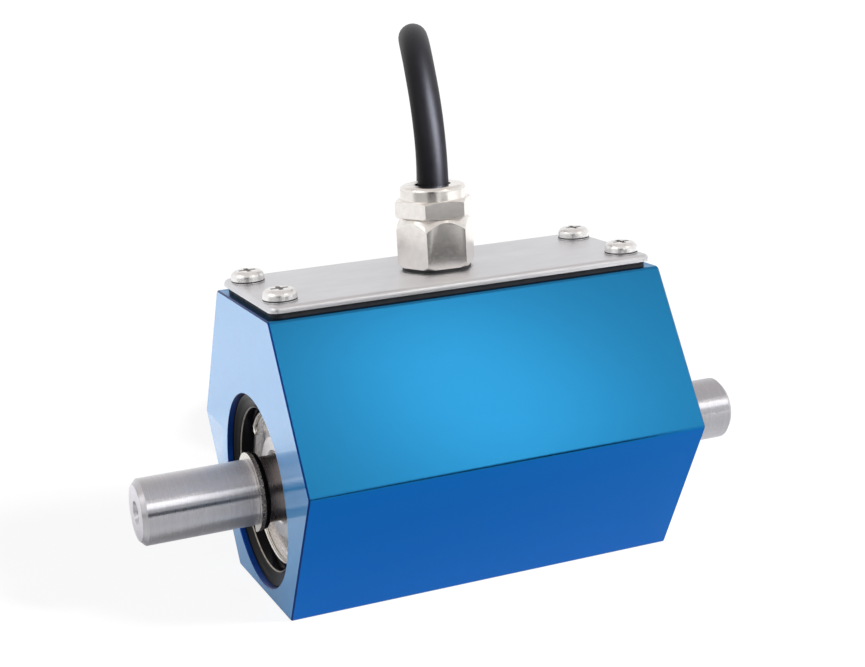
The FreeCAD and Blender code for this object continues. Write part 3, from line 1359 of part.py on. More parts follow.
def check_document():
    """Stops before anything is written if an object failed or a shape isn't sound."""
    doc.recompute()
    for item in doc.Objects:
        if {"Invalid", "Error"} & set(item.State):
            raise ValueError(f"{item.Label} failed: {item.State}")
    for sub_part in SUB_PARTS:
        shape = sub_part.Shape
        if shape.isNull() or not shape.isValid() or not shape.Solids:
            raise ValueError(f"{sub_part.Label} has no sound solid")


def write_parts():
    os.makedirs("parts", exist_ok=True)
    for sub_part in SUB_PARTS:
        sub_part.Shape.exportStep(f"parts/{sub_part.Label}.step")
        print(f"{sub_part.Label}: {len(sub_part.Shape.Solids)} solids,",
              f"{sub_part.Shape.Volume:.1f} mm3")


make_housing()
for end in ("left", "right"):
    make_outer_ring(end)
    make_inner_ring(end)
    make_cage(end)
    make_balls(end)
    make_shields(end)
    make_retaining_ring(end)
    make_snap_wire(end)
    make_circlip(end)
    make_shaft_ring(end)
    make_rotor_core(end)
    make_rotor_winding(end)
    make_stator_core(end)
    make_stator_winding(end)
make_shaft()
make_strain_gauges()
make_rotor_board()
make_stator_sleeve()
make_circuit_board()
make_board_spacers()
make_board_screws()
make_board_chips()
make_core_wires()
make_gasket()
cover_plate = make_plate()
make_lead_wires(make_terminal_block(), cover_plate)
make_cover_screws()
make_gland_body()
make_gland_washer()
make_cap_nut()
make_gland_seal()
make_lock_nut()
make_cable(cover_plate)
make_coil()
make_plug()
check_document()
write_parts()
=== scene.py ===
import json
import math

import bmesh
import bpy
from mathutils import Matrix, Vector


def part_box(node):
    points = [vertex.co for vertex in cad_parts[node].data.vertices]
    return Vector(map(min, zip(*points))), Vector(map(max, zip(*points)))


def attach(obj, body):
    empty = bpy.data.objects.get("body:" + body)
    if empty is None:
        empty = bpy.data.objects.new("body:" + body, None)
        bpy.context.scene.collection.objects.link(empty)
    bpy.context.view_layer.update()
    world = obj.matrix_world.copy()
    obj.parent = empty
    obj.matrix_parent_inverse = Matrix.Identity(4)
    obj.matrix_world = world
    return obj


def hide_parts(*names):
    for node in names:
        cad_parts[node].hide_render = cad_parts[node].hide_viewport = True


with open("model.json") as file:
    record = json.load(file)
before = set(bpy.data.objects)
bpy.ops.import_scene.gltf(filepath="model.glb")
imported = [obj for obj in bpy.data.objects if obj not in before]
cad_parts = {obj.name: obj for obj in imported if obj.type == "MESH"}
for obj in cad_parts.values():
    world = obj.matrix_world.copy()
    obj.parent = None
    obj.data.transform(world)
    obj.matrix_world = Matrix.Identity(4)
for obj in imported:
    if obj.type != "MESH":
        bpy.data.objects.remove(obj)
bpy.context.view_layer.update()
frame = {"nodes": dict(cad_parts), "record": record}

# Looks of the rotary torque sensor. Metres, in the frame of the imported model: X along the shaft,
# Z up, the origin in the middle of the block's lower flat. Outlines and routes are lists of
# points in millimetres.

MM = 0.001
NODES = frame["nodes"]
SHAFT_HEIGHT = 25.9 * MM


# Helpers


def new_object(name, data):
    """A new object in the scene."""
    thing = bpy.data.objects.new(name, data)
    bpy.context.scene.collection.objects.link(thing)
    return thing


def new_mesh(work, name):
    """The mesh of a bmesh, which is freed."""
    mesh = bpy.data.meshes.new(name)
    work.to_mesh(mesh)
    work.free()
    return mesh


def configure(node, settings):
    """Sets a node's sockets and properties; in a socket's name an underscore is a space."""
    for name, value in settings.items():
        socket = name.replace("_", " ")
        if socket in node.inputs:
            node.inputs[socket].default_value = value
        else:
            setattr(node, name, value)


def add_node(tree, kind, **settings):
    """A new node of a kind, with its settings."""
    node = tree.nodes.new(kind)
    configure(node, settings)
    return node


# Camera

# The camera that took the photograph, fitted to the block's edges; its lens and sensor are in
# millimetres.
LENS_LENGTH, SENSOR_WIDTH = 68.86, 36
CAMERA_PLACE = (-0.15226, -0.36568, 0.15435)
CAMERA_RIGHT = Vector((0.91874, -0.39126, -0.05317))
CAMERA_UP = Vector((0.14052, 0.19814, 0.97004))
CLIP_START = 0.01


def make_camera():
    camera = bpy.data.cameras.new("camera")
    camera.lens = LENS_LENGTH
    camera.sensor_width = SENSOR_WIDTH
    camera.sensor_fit = "HORIZONTAL"
    camera.clip_start = CLIP_START
    seat = new_object("camera", camera)
    turn = Matrix((CAMERA_RIGHT, CAMERA_UP, CAMERA_RIGHT.cross(CAMERA_UP))).transposed()
    seat.matrix_world = Matrix.Translation(CAMERA_PLACE) @ turn.to_4x4()
    bpy.context.scene.camera = seat


# Materials

# Every material of the part, by name.
FINISHES = {}
# The range that noise seldom leaves.
NOISE_LOW, NOISE_HIGH = 0.3, 0.7


class Finish:
    """A material whose detail is built from nodes in the object's own coordinates."""

    def __init__(self, name, colour, **sockets):
        material = bpy.data.materials.new(name)
        material.use_nodes = True
        self.tree = material.node_tree
        self.bsdf = self.tree.nodes["Principled BSDF"]
        self.colour = colour
        configure(self.bsdf, {"Base_Color": (*colour, 1), **sockets})
        FINISHES[name] = material

    def add(self, kind, **settings):
        return add_node(self.tree, kind, **settings)

    def link(self, output, node, socket):
        self.tree.links.new(output, node.inputs[socket])

    def place(self):
        """The object's own coordinates."""
        return self.add("ShaderNodeTexCoord").outputs["Object"]

    def grain(self, size, stretch=(1, 1, 1), detail=3.0):
        """Noise with features of a size in metres, drawn out along an axis by its stretch."""
        mapping = self.add("ShaderNodeMapping", Scale=[1 / s for s in stretch])
        self.link(self.place(), mapping, "Vector")
        noise = self.add("ShaderNodeTexNoise", Scale=1 / size, Detail=detail)
        self.link(mapping.outputs[0], noise, "Vector")
        return noise.outputs["Fac"]

    def rings(self, size):
        """Noise in rings round the shaft's axis, as a lathe leaves on a flat face."""
        offset = self.add("ShaderNodeVectorMath", operation="SUBTRACT")
        offset.inputs[1].default_value = (0, 0, SHAFT_HEIGHT)
        self.link(self.place(), offset, 0)
        flat = self.add("ShaderNodeVectorMath", operation="MULTIPLY")
        flat.inputs[1].default_value = (0, 1, 1)
        self.link(offset.outputs[0], flat, 0)
        length = self.add("ShaderNodeVectorMath", operation="LENGTH")
        self.link(flat.outputs[0], length, 0)
        noise = self.add("ShaderNodeTexNoise", noise_dimensions="1D", Scale=1 / size, Detail=2.0)
        self.link(length.outputs["Value"], noise, "W")
        return noise.outputs["Fac"]

    def spread(self, value, low, high, start=NOISE_LOW, end=NOISE_HIGH):
        """Maps a value between start and end to the range from low to high."""
        remap = self.add("ShaderNodeMapRange", From_Min=start, From_Max=end, To_Min=low,
                         To_Max=high)
        self.link(value, remap, "Value")
        return remap.outputs["Result"]

    def rough(self, value, low, high):
        """Varies the roughness with a noise value."""
        self.link(self.spread(value, low, high), self.bsdf, "Roughness")

    def tint(self, value, dark, light, start=NOISE_LOW, end=NOISE_HIGH):
        """Varies the colour between a darker and a lighter shade of itself."""
        self.ramp(value, [c * dark for c in self.colour],
                  [min(c * light, 1) for c in self.colour], start, end)

    def facing(self, low, high):
        """Colour that runs from one shade on downward faces to another on upward ones: painted
        shading, upward faces lighter and greener, downward ones a deeper blue, as light falls on
        them.
        """
        normal = self.add("ShaderNodeSeparateXYZ")
        self.link(self.add("ShaderNodeTexCoord").outputs["Normal"], normal, 0)
        height = self.spread(normal.outputs["Z"], 0, 1, start=-0.5, end=0.5)
        self.ramp(height, low, high, start=0, end=1)

    def ramp(self, value, low, high, start, end):
        """Sets the colour from a value, low at start and high at end."""
        ramp = self.add("ShaderNodeValToRGB")
        first, last = ramp.color_ramp.elements
        first.position, last.position = start, end
        first.color, last.color = (*low, 1), (*high, 1)
        self.link(value, ramp, "Fac")
        self.link(ramp.outputs["Color"], self.bsdf, "Base Color")

    def bump(self, value, depth):
        """Raises the surface by a depth in metres."""
        bump = self.add("ShaderNodeBump", Distance=depth)
        self.link(value, bump, "Height")
        self.link(bump.outputs["Normal"], self.bsdf, "Normal")


def make_block_finishes():
    """Anodised and bare aluminium."""
    face = Finish("blue_satin", (0.010, 0.185, 0.540), Metallic=1.0,
                  Specular_Tint=(0.88, 0.94, 1.0, 1.0))
    lines = face.grain(0.15 * MM, (90, 1, 1), detail=2)
    # Painted shading: faces turned up are lighter and greener, faces turned down a deeper blue, as
    # light falls on them.
    face.facing((0.002, 0.150, 0.545), (0.018, 0.198, 0.430))
    face.rough(lines, 0.25, 0.27)
    face.bump(lines, 0.0003 * MM)

    end = Finish("blue_mirror", (0.008, 0.42, 1.0), Metallic=0.45, Specular_IOR_Level=0.0,
                 Coat_Weight=1.0, Coat_IOR=4.0, Coat_Roughness=0.02)
    end.rough(end.grain(0.4 * MM, (1, 12, 1)), 0.40, 0.46)
    end.tint(end.grain(6 * MM), 0.97, 1.03)

    # A darker copy of the anodised blue for the mouth's wall and the ends' edges: painted shade.
    shaded_edge = Finish("shaded_blue_edge", (0.005, 0.032, 0.170), Metallic=1.0)
    shaded_edge.rough(shaded_edge.grain(0.3 * MM), 0.28, 0.40)
    shaded_edge.tint(shaded_edge.grain(2 * MM), 0.85, 1.1)

    bore = Finish("bore_aluminium", (0.70, 0.70, 0.72), Metallic=1.0)
    bore.rough(bore.grain(0.3 * MM, (1, 30, 30)), 0.28, 0.42)
    bore.bump(bore.grain(0.2 * MM, (1, 30, 30)), 0.004 * MM)


def make_shaft_finishes():
    """Steel of the shaft and of the bearings."""
    shaft = Finish("ground_steel", (0.56, 0.55, 0.575), Metallic=1.0, Anisotropic=1.0,
                   Anisotropic_Rotation=0.25)
    tangent = shaft.add("ShaderNodeTangent", direction_type="RADIAL", axis="X")
    shaft.link(tangent.outputs[0], shaft.bsdf, "Tangent")
    lines = shaft.grain(0.10 * MM, (1, 60, 60))
    shaft.rough(lines, 0.26, 0.34)
    shaft.tint(shaft.grain(0.35 * MM, (1, 60, 60)), 0.96, 1.04)
    shaft.bump(lines, 0.0008 * MM)

    # Darker steel where the shaft runs inside the block's mouth: painted shade.
    seat = Finish("shaded_seat_steel", (0.21, 0.185, 0.175), Metallic=1.0)
    seat.rough(seat.grain(0.10 * MM, (1, 60, 60)), 0.24, 0.30)
    seat.tint(seat.grain(0.6 * MM, (1, 20, 20)), 0.92, 1.08)

    faced = Finish("faced_steel", (0.92, 0.89, 0.95), Metallic=1.0)
    cuts = faced.rings(0.25 * MM)
    faced.rough(cuts, 0.32, 0.40)
    faced.tint(cuts, 0.93, 1.05)

    race = Finish("bearing_steel", (0.95, 0.93, 0.91), Metallic=1.0)
    turned = race.rings(0.22 * MM)
    race.rough(turned, 0.30, 0.38)
    race.tint(race.grain(3 * MM), 0.96, 1.04)
    race.bump(turned, 0.002 * MM)

    shield = Finish("shield_steel", (0.95, 0.92, 0.90), Metallic=1.0)
    shield.rough(shield.grain(1.2 * MM), 0.24, 0.32)
    shield.bump(shield.rings(0.5 * MM), 0.004 * MM)

    ball = Finish("ball_steel", (0.78, 0.77, 0.76), Metallic=1.0)
    ball.rough(ball.grain(1 * MM), 0.04, 0.08)

    spring = Finish("spring_steel", (0.80, 0.765, 0.72), Metallic=1.0)
    spring.rough(spring.grain(0.5 * MM), 0.22, 0.34)
    spring.bump(spring.grain(0.15 * MM), 0.0006 * MM)


def make_fitting_finishes():
    """Rings, seals, plate, screws, gland and cable."""
    ring = Finish("black_ring", (0.004, 0.004, 0.006), Specular_IOR_Level=0.07)
    ring.rough(ring.grain(0.4 * MM, (1, 20, 20)), 0.14, 0.22)
    ring.bump(ring.grain(0.3 * MM, (1, 30, 30)), 0.001 * MM)

    # Tan bare metal on the retaining ring's lip: partly wear, partly a painted highlight.
    worn_shine = Finish("worn_shine_edge", (0.34, 0.30, 0.26), Metallic=1.0)
    worn_shine.rough(worn_shine.grain(0.3 * MM), 0.25, 0.40)
    worn_shine.tint(worn_shine.grain(1.2 * MM), 0.55, 1.1)

    rubber = Finish("black_rubber", (0.016, 0.016, 0.018))
    rubber.rough(rubber.grain(1.5 * MM), 0.55, 0.72)
    rubber.bump(rubber.grain(0.25 * MM), 0.01 * MM)

    plate = Finish("plate_steel", (0.72, 0.72, 0.745), Metallic=1.0)
    plate.rough(plate.grain(0.5 * MM, (10, 1, 1)), 0.34, 0.46)
    plate.tint(plate.grain(7 * MM, (3, 1, 1), detail=4), 0.96, 1.04)
    plate.bump(plate.grain(0.15 * MM, (18, 1, 1)), 0.004 * MM)

    screw = Finish("screw_steel", (0.90, 0.89, 0.88), Metallic=1.0)
    screw.rough(screw.grain(0.8 * MM), 0.26, 0.36)
    screw.tint(screw.grain(1.5 * MM), 0.90, 1.04)
    screw.bump(screw.grain(0.5 * MM), 0.002 * MM)

    nickel = Finish("nickel_plate", (0.87, 0.835, 0.80), Metallic=1.0)
    scratches = nickel.grain(0.10 * MM, (1, 1, 5), detail=4)
    nickel.rough(scratches, 0.17, 0.27)
    nickel.tint(nickel.grain(1.6 * MM), 0.94, 1.04)
    nickel.bump(scratches, 0.0012 * MM)

    jacket = Finish("cable_jacket", (0.008, 0.0075, 0.010), Specular_IOR_Level=0.12)
    jacket.rough(jacket.grain(0.6 * MM), 0.40, 0.46)
    jacket.tint(jacket.grain(4 * MM), 0.85, 1.2)
    jacket.bump(jacket.grain(0.20 * MM), 0.003 * MM)


def make_inner_finishes():
    """Electronics, wires, windings and the other pieces inside the block and the plug."""
    board = Finish("board_green", (0.012, 0.115, 0.050), Coat_Weight=0.5, Coat_Roughness=0.2)
    board.rough(board.grain(1 * MM), 0.30, 0.42)
    board.tint(board.grain(1.2 * MM, detail=1), 0.75, 1.15, start=0.45, end=0.55)
    board.bump(board.grain(0.8 * MM, detail=1), 0.02 * MM)

    chip = Finish("chip_black", (0.018, 0.018, 0.02))
    chip.rough(chip.grain(0.3 * MM), 0.50, 0.65)
    chip.bump(chip.grain(0.2 * MM), 0.01 * MM)

    terminal = Finish("terminal_plastic", (0.05, 0.22, 0.10))
    terminal.rough(terminal.grain(0.6 * MM), 0.38, 0.50)
    terminal.bump(terminal.grain(0.3 * MM), 0.01 * MM)

    insert = Finish("insert_plastic", (0.022, 0.022, 0.024))
    insert.rough(insert.grain(0.5 * MM), 0.38, 0.50)
    insert.bump(insert.grain(0.25 * MM), 0.008 * MM)

    cage = Finish("cage_plastic", (0.52, 0.42, 0.24))
    cage.rough(cage.grain(0.6 * MM), 0.40, 0.55)
    cage.tint(cage.grain(2 * MM), 0.9, 1.08)
    cage.bump(cage.grain(0.3 * MM), 0.01 * MM)

    wire = Finish("wire_insulation", (0.55, 0.53, 0.48))
    wire.rough(wire.grain(0.5 * MM), 0.35, 0.48)
    wire.bump(wire.grain(0.3 * MM, (1, 1, 6)), 0.01 * MM)

    foil = Finish("gauge_foil", (0.50, 0.26, 0.06), Coat_Weight=0.8, Coat_Roughness=0.15)
    foil.rough(foil.grain(0.4 * MM, (8, 1, 1)), 0.25, 0.40)
    foil.tint(foil.grain(0.35 * MM, (12, 1, 1)), 0.7, 1.15)
    foil.bump(foil.grain(0.35 * MM, (12, 1, 1)), 0.02 * MM)

    copper = Finish("copper", (0.60, 0.25, 0.11), Metallic=1.0)
    copper.rough(copper.grain(0.3 * MM, (1, 12, 12)), 0.22, 0.36)
    copper.bump(copper.grain(0.22 * MM, (1, 40, 40), detail=1), 0.04 * MM)

    ferrite = Finish("core_ferrite", (0.045, 0.045, 0.05))
    ferrite.rough(ferrite.grain(0.5 * MM), 0.45, 0.62)
    ferrite.bump(ferrite.grain(0.2 * MM), 0.012 * MM)


# The finish of each CAD node whose slot isn't a finish's name or stands for several looks.
NODE_FINISH = {
    "housing": "blue_satin",
    "left_bearing_shields": "shield_steel",
    "right_bearing_shields": "shield_steel",
    "left_bearing_balls": "ball_steel",
    "right_bearing_balls": "ball_steel",
    "left_shaft_ring": "black_ring",
    "right_shaft_ring": "black_ring",
    "stator_sleeve": "bore_aluminium",
}


def dress_nodes():
    """Gives every CAD node its finish."""
    slots = {s["node"]: s["material_slot"] for s in frame["record"]["subparts"]}
    for name, node in NODES.items():
        node.data.materials.clear()
        node.data.materials.append(FINISHES[NODE_FINISH.get(name, slots[name])])


# Pieces

CREASE_ANGLE = math.radians(28)
FLAT_WITHIN = math.radians(0.5)
SAME_POINT = 1e-6


def link_piece(data, body, slot, *replaced):
    """A new piece on a body, named as its data, in place of the CAD nodes named."""
    piece = new_object(data.name, data)
    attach(piece, body)
    if replaced:
        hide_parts(*replaced)
    return piece


def copied_mesh(node, name, *finishes):
    """A copy of a CAD node's mesh, with the flat faces made whole again."""
    work = bmesh.new()
    work.from_mesh(NODES[node].data)
    bmesh.ops.remove_doubles(work, verts=work.verts, dist=SAME_POINT)
    bmesh.ops.dissolve_limit(work, angle_limit=FLAT_WITHIN, verts=work.verts, edges=work.edges)
    mesh = new_mesh(work, name)
    for finish in finishes:
        mesh.materials.append(FINISHES[finish])
    return mesh


def smooth(mesh):
    """Smooth shading, with creases kept where faces meet more sharply than the crease angle."""
    mesh.polygons.foreach_set("use_smooth", [True] * len(mesh.polygons))
    mesh.set_sharp_from_angle(angle=CREASE_ANGLE)


# Block

BLOCK_FINISHES = ("blue_satin", "blue_mirror", "bore_aluminium", "shaded_blue_edge")
# The limits by which the block's faces are told apart, each with a little to spare.
END_FACE_DEPTH, END_EDGE_DEPTH = 0.1 * MM, 0.5 * MM
# How far a face's normal points along the shaft, at the end faces and at their edges.
END_SLOPE, EDGE_SLOPE = 0.9, 0.4
ABOVE_MOUTH_FLOOR = 0.1 * MM
MOUTH_RADIUS, MOUTH_RIM_RADIUS = 23.6 * MM, 23.9 * MM
POCKET_HALF_LENGTH, POCKET_HALF_WIDTH = 38.1 * MM, 15.1 * MM
POCKET_FLOOR, POCKET_TOP = 49 * MM, 71.5 * MM
BASE_HOLE_TOP, COVER_HOLE_FLOOR, HOLE_RADIUS = 8.1 * MM, 61 * MM, 2.2 * MM
HOLE_PLACES = ((35 * MM, 14 * MM), (44.2 * MM, 12.5 * MM))


def block_finish(face, end, mouth_floor):
    """The finish of one of the block's faces, by its place."""
    x, y, z = abs(face.center.x), abs(face.center.y), face.center.z
    slope = abs(face.normal.x)
    from_axis = math.hypot(y, z - SHAFT_HEIGHT)
    if slope > END_SLOPE and x > end - END_FACE_DEPTH:
        return "blue_mirror"
    in_mouth = x > mouth_floor + ABOVE_MOUTH_FLOOR and from_axis < MOUTH_RIM_RADIUS
    at_edge = x > end - END_EDGE_DEPTH and EDGE_SLOPE < slope < END_SLOPE
    # Faces in the mouth and on the ends' edges take the darker blue, painted shade.
    if in_mouth or at_edge:
        return "shaded_blue_edge"
    in_pocket = (x < POCKET_HALF_LENGTH and y < POCKET_HALF_WIDTH
                 and POCKET_FLOOR < z < POCKET_TOP)
    in_hole = (z < BASE_HOLE_TOP or z > COVER_HOLE_FLOOR) and any(
        math.hypot(x - hole_x, y - hole_y) < HOLE_RADIUS for hole_x, hole_y in HOLE_PLACES)
    if from_axis < MOUTH_RADIUS or in_pocket or in_hole:
        return "bore_aluminium"
    return "blue_satin"


def make_block():
    """The block: satin on its long faces, mirror-bright on its cut ends, bare in its bores, and a
    darker shaded copy of its blue in its mouth and on its end edges as painted shade.
    """
    mesh = copied_mesh("housing", "block", *BLOCK_FINISHES)
    end, mouth_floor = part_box("housing")[1][0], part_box("right_retaining_ring")[0][0]
    for face in mesh.polygons:
        face.material_index = BLOCK_FINISHES.index(block_finish(face, end, mouth_floor))
    smooth(mesh)
    link_piece(mesh, "sensor_body", "blue_anodised", "housing")


# Gland

SOFTENING, SOFTENED_BEYOND = 0.18 * MM, math.radians(25)


def make_softened(node):
    """A nickel-plated CAD piece with small rounded edges, as machined parts have."""
    mesh = copied_mesh(node, f"{node}_dressed", "nickel_plate")
    smooth(mesh)
    piece = link_piece(mesh, "sensor_body", "nickel_plate", node)
    bevel = piece.modifiers.new("edges", "BEVEL")
    bevel.width = SOFTENING
    bevel.segments = 3
    bevel.limit_method = "ANGLE"
    bevel.angle_limit = SOFTENED_BEYOND
    bevel.harden_normals = True


# Shaft

SHAFT_FINISHES = ("ground_steel", "shaded_seat_steel", "faced_steel")
SEAT_OVERLAP, SHAFT_END_DEPTH = 0.5 * MM, 0.1 * MM


def make_shaft():
    """The shaft, with smoother bearing seats darkened by painted shade inside the block's mouth,
    and faced, lighter ends.
    """
    mesh = copied_mesh("shaft", "shaft_dressed", *SHAFT_FINISHES)
    seat_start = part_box("right_bearing_inner_ring")[1][0] - SEAT_OVERLAP
    seat_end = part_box("right_shaft_ring")[1][0]
    shaft_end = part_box("shaft")[1][0] - SHAFT_END_DEPTH
    for face in mesh.polygons:
        finish = "ground_steel"
        # The stretch inside the block's mouth is darkened by painted shade.
        if seat_start < abs(face.center.x) < seat_end:
            finish = "shaded_seat_steel"
        elif abs(face.center.x) > shaft_end:
            finish = "faced_steel"
        face.material_index = SHAFT_FINISHES.index(finish)
    smooth(mesh)
    return link_piece(mesh, "rotor", "ground_steel", "shaft")


# Cable. The points repeat the CAD route; all lengths are in millimetres.

CABLE_RADIUS = 3.75
LEAD = [
    (0.0, 0.0, 72.0), (0.2, -0.1, 86.0), (0.2, 0.1, 108.6), (4.6, 17.6, 127.5),
    (14.0, 42.4, 127.7), (23.0, 57.6, 108.5), (23.8, 57.6, 84.0), (19.5, 59.0, 59.0),
    (11.0, 60.8, 39.0), (11.0, 61.3, 24.2), (18.5, 61.0, 11.2), (31.5, 61.0, 3.75),
    (46.0, 62.5, 3.75),
]
COIL_CENTRE = (37.0, 115.5)
# Radius and height of each turn of the coil, from the first one on the floor upwards.
COIL_TURNS = [
    (48.75, 3.75), (41.25, 3.75), (41.25, 11.25), (48.75, 11.25), (48.75, 18.75), (41.25, 18.75),
]
# The angle of the coil's first point, in degrees.
COIL_START = -58
COIL_POINTS, POINTS_PER_TURN = 70, 12
COIL_STEP = 360 / POINTS_PER_TURN
# The last share of each turn, in which it passes to the next one.
PASSING = 0.25
# Angle beyond the coil's end in degrees, radius and height.
TAIL_RING = [
    (24, 42.6, 19.5), (48, 43.4, 22.5), (72, 43.8, 26.5), (96, 44.0, 30.0), (120, 44.0, 31.9),
]
PLUG_REAR = (79.9, 123.5, 32.1)
STRAIGHT_BEFORE_PLUG = 14.0
# Steps between two points of the curve, and in a quarter of its outline.
CURVE_STEPS = 10


def on_coil(angle, radius, height):
    """A point round the coil's centre; the angle is in degrees."""
    turn = math.radians(angle)
    return (COIL_CENTRE[0] + radius * math.cos(turn),
            COIL_CENTRE[1] + radius * math.sin(turn), height)


def coil_points():
    """Turns that lie beside and on each other, each passing to the next one at its end."""
    # The spline runs inside its points, so they lie that much further out.
    outwards = 1 / math.sqrt(math.cos(math.radians(COIL_STEP / 2)))
    points = []
    for i in range(COIL_POINTS):
        turns = i / POINTS_PER_TURN
        turn = min(int(turns), len(COIL_TURNS) - 1)
        following = min(turn + 1, len(COIL_TURNS) - 1)
        share = min(max(0, (turns - turn - (1 - PASSING)) / PASSING), 1)
        radius, height = (a + (b - a) * share
                          for a, b in zip(COIL_TURNS[turn], COIL_TURNS[following]))
        points.append(on_coil(COIL_START + COIL_STEP * i, radius * outwards, height))
    return points


def make_cable():
    """The signal cable: one smooth line from the gland through the coil to the plug."""
    x, y, z = PLUG_REAR
    coil_end = COIL_START + COIL_STEP * (COIL_POINTS - 1)
    tail = [on_coil(coil_end + angle, radius, height) for angle, radius, height in TAIL_RING]
    route = LEAD + coil_points() + tail + [(x, y - STRAIGHT_BEFORE_PLUG, z), (x, y, z)]
    curve = bpy.data.curves.new("signal_cable", "CURVE")
    curve.dimensions = "3D"
    curve.bevel_depth = CABLE_RADIUS * MM
    curve.bevel_resolution = CURVE_STEPS
    curve.resolution_u = CURVE_STEPS
    curve.use_fill_caps = True
    line = curve.splines.new("NURBS")
    line.points.add(len(route) - 1)
    for point, place in zip(line.points, route):
        point.co = (*[c * MM for c in place], 1)
    line.order_u = 3
    line.use_endpoint_u = True
    line.use_smooth = True
    curve.materials.append(FINISHES["cable_jacket"])
    return link_piece(curve, "sensor_body", "cable_jacket", "cable", "cable_coil", "cable_tail")


# Turned pieces

RING_OUTLINE = [
    (44.6, 18.9), (44.6, 23.47), (48.6, 23.47), (48.75, 23.3), (48.75, 23.05), (48.3, 22.2),
    (47.9, 21.2), (47.68, 20.15), (47.45, 19.85), (46.4, 19.4), (45.2, 19.05), (44.6, 18.9),
]
# The heights between which the retaining ring's lip is worn to bare metal, whose tan colour also
# paints the highlight along the lip.
WORN_SHINE_FROM, WORN_SHINE_TO = 47.5 * MM, 47.65 * MM


def turned_mesh(name, outline, finish, segments=96, ribs=None):
    """A ring turned about its own Z axis from (height, radius) pairs in millimetres.

    Ribs are a low and a high end, a depth and a number of segments: between those heights the
    surface lies deeper once in so many segments.
    """
    low_end, high_end, depth, every = ribs or (0, 0, 0, 1)
    work = bmesh.new()
    rows = []
    for height, radius in outline:
        row = []
        for i in range(segments):
            angle = 2 * math.pi * i / segments
            cut = depth if low_end <= height <= high_end and i % every == 0 else 0
            reach = (radius - cut) * MM
            row.append(work.verts.new((reach * math.cos(angle), reach * math.sin(angle),
                                       height * MM)))
        rows.append(row)
    for low, high in zip(rows, rows[1:]):
        for i in range(segments):
            j = (i + 1) % segments
            work.faces.new((low[i], low[j], high[j], high[i]))
    bmesh.ops.remove_doubles(work, verts=work.verts, dist=SAME_POINT)
    bmesh.ops.recalc_face_normals(work, faces=work.faces)
    mesh = new_mesh(work, name)
    mesh.materials.append(FINISHES[finish])
    smooth(mesh)
    return mesh


def make_retaining_ring(side):
    """The black ring in the block's mouth, with an edge worn to bare tan metal that also paints
    the highlight along its lip.
    """
    mesh = turned_mesh(f"{side}_ring_dressed", RING_OUTLINE, "black_ring", segments=128)
    mesh.materials.append(FINISHES["worn_shine_edge"])
    for face in mesh.polygons:
        face.material_index = int(WORN_SHINE_FROM < face.center.z < WORN_SHINE_TO)
    turn = Matrix.Rotation(math.radians(90 if side == "right" else -90), 4, "Y")
    mesh.transform(Matrix.Translation((0, 0, SHAFT_HEIGHT)) @ turn)
    mesh.update()
    link_piece(mesh, "sensor_body", "black_ring", f"{side}_retaining_ring")


# Plate

PLATE_CORNER, CAD_ROUNDING, ROUNDING = 2.5 * MM, 0.45 * MM, 1.1 * MM
HEAD_RADIUS = 4 * MM
# The dark ring under a screw's head, a painted contact shadow where the head meets the plate, in
# millimetres.
SHADOW_RING_BORE, SHADOW_RING_PAST_HEAD, SHADOW_RING_HEIGHT = 2.4, 0.03, 0.42
SHADOW_RING_CHAMFER_REACH, SHADOW_RING_CHAMFER_HEIGHT = 0.1, 0.15


def make_plate():
    """The cover plate, whose upper edge is rounded more broadly than the CAD one."""
    mesh = copied_mesh("cover_plate", "plate", "plate_steel")
    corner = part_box("cover_plate")[1]
    # The reach of the CAD rounding, with a little to spare.
    rounded = 1.01 * CAD_ROUNDING
    for vert in mesh.vertices:
        over = [max(abs(vert.co[i]) - corner[i] + PLATE_CORNER, 0) for i in (0, 1)]
        inwards, depth = PLATE_CORNER - math.hypot(*over), corner[2] - vert.co.z
        if max(over) > 0 and inwards < rounded and depth < rounded:
            shift = inwards * (ROUNDING / CAD_ROUNDING - 1) / math.hypot(*over)
            for i in (0, 1):
                vert.co[i] -= math.copysign(over[i] * shift, vert.co[i])
            vert.co.z = corner[2] - depth * ROUNDING / CAD_ROUNDING
    smooth(mesh)
    link_piece(mesh, "sensor_body", "plate_steel", "cover_plate")


def make_screw_shadow_rings():
    """Dark rubber rings under the heads of the cover's screws, standing in for their contact
    shadows: painted shadow.
    """
    low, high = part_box("cover_screws")
    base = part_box("cover_plate")[1][2] / MM
    top = base + SHADOW_RING_HEIGHT
    reach = HEAD_RADIUS / MM + SHADOW_RING_PAST_HEAD
    outline = [(base, SHADOW_RING_BORE), (base, reach - SHADOW_RING_CHAMFER_REACH),
               (base + SHADOW_RING_CHAMFER_HEIGHT, reach), (top, reach), (top, SHADOW_RING_BORE),
               (base, SHADOW_RING_BORE)]
    shadow_rings = bmesh.new()
    for x in (low[0] + HEAD_RADIUS, high[0] - HEAD_RADIUS):
        for y in (low[1] + HEAD_RADIUS, high[1] - HEAD_RADIUS):
            # Each ring is a painted shadow under a screw's head.
            ring = turned_mesh("seat", outline, "black_rubber", segments=64)
            ring.transform(Matrix.Translation((x, y, 0)))
            shadow_rings.from_mesh(ring)
            bpy.data.meshes.remove(ring)
    mesh = new_mesh(shadow_rings, "screw_shadow_rings")
    mesh.materials.append(FINISHES["black_rubber"])
    smooth(mesh)
    link_piece(mesh, "sensor_body", "black_rubber")


# Plug, in millimetres along and round its own axis

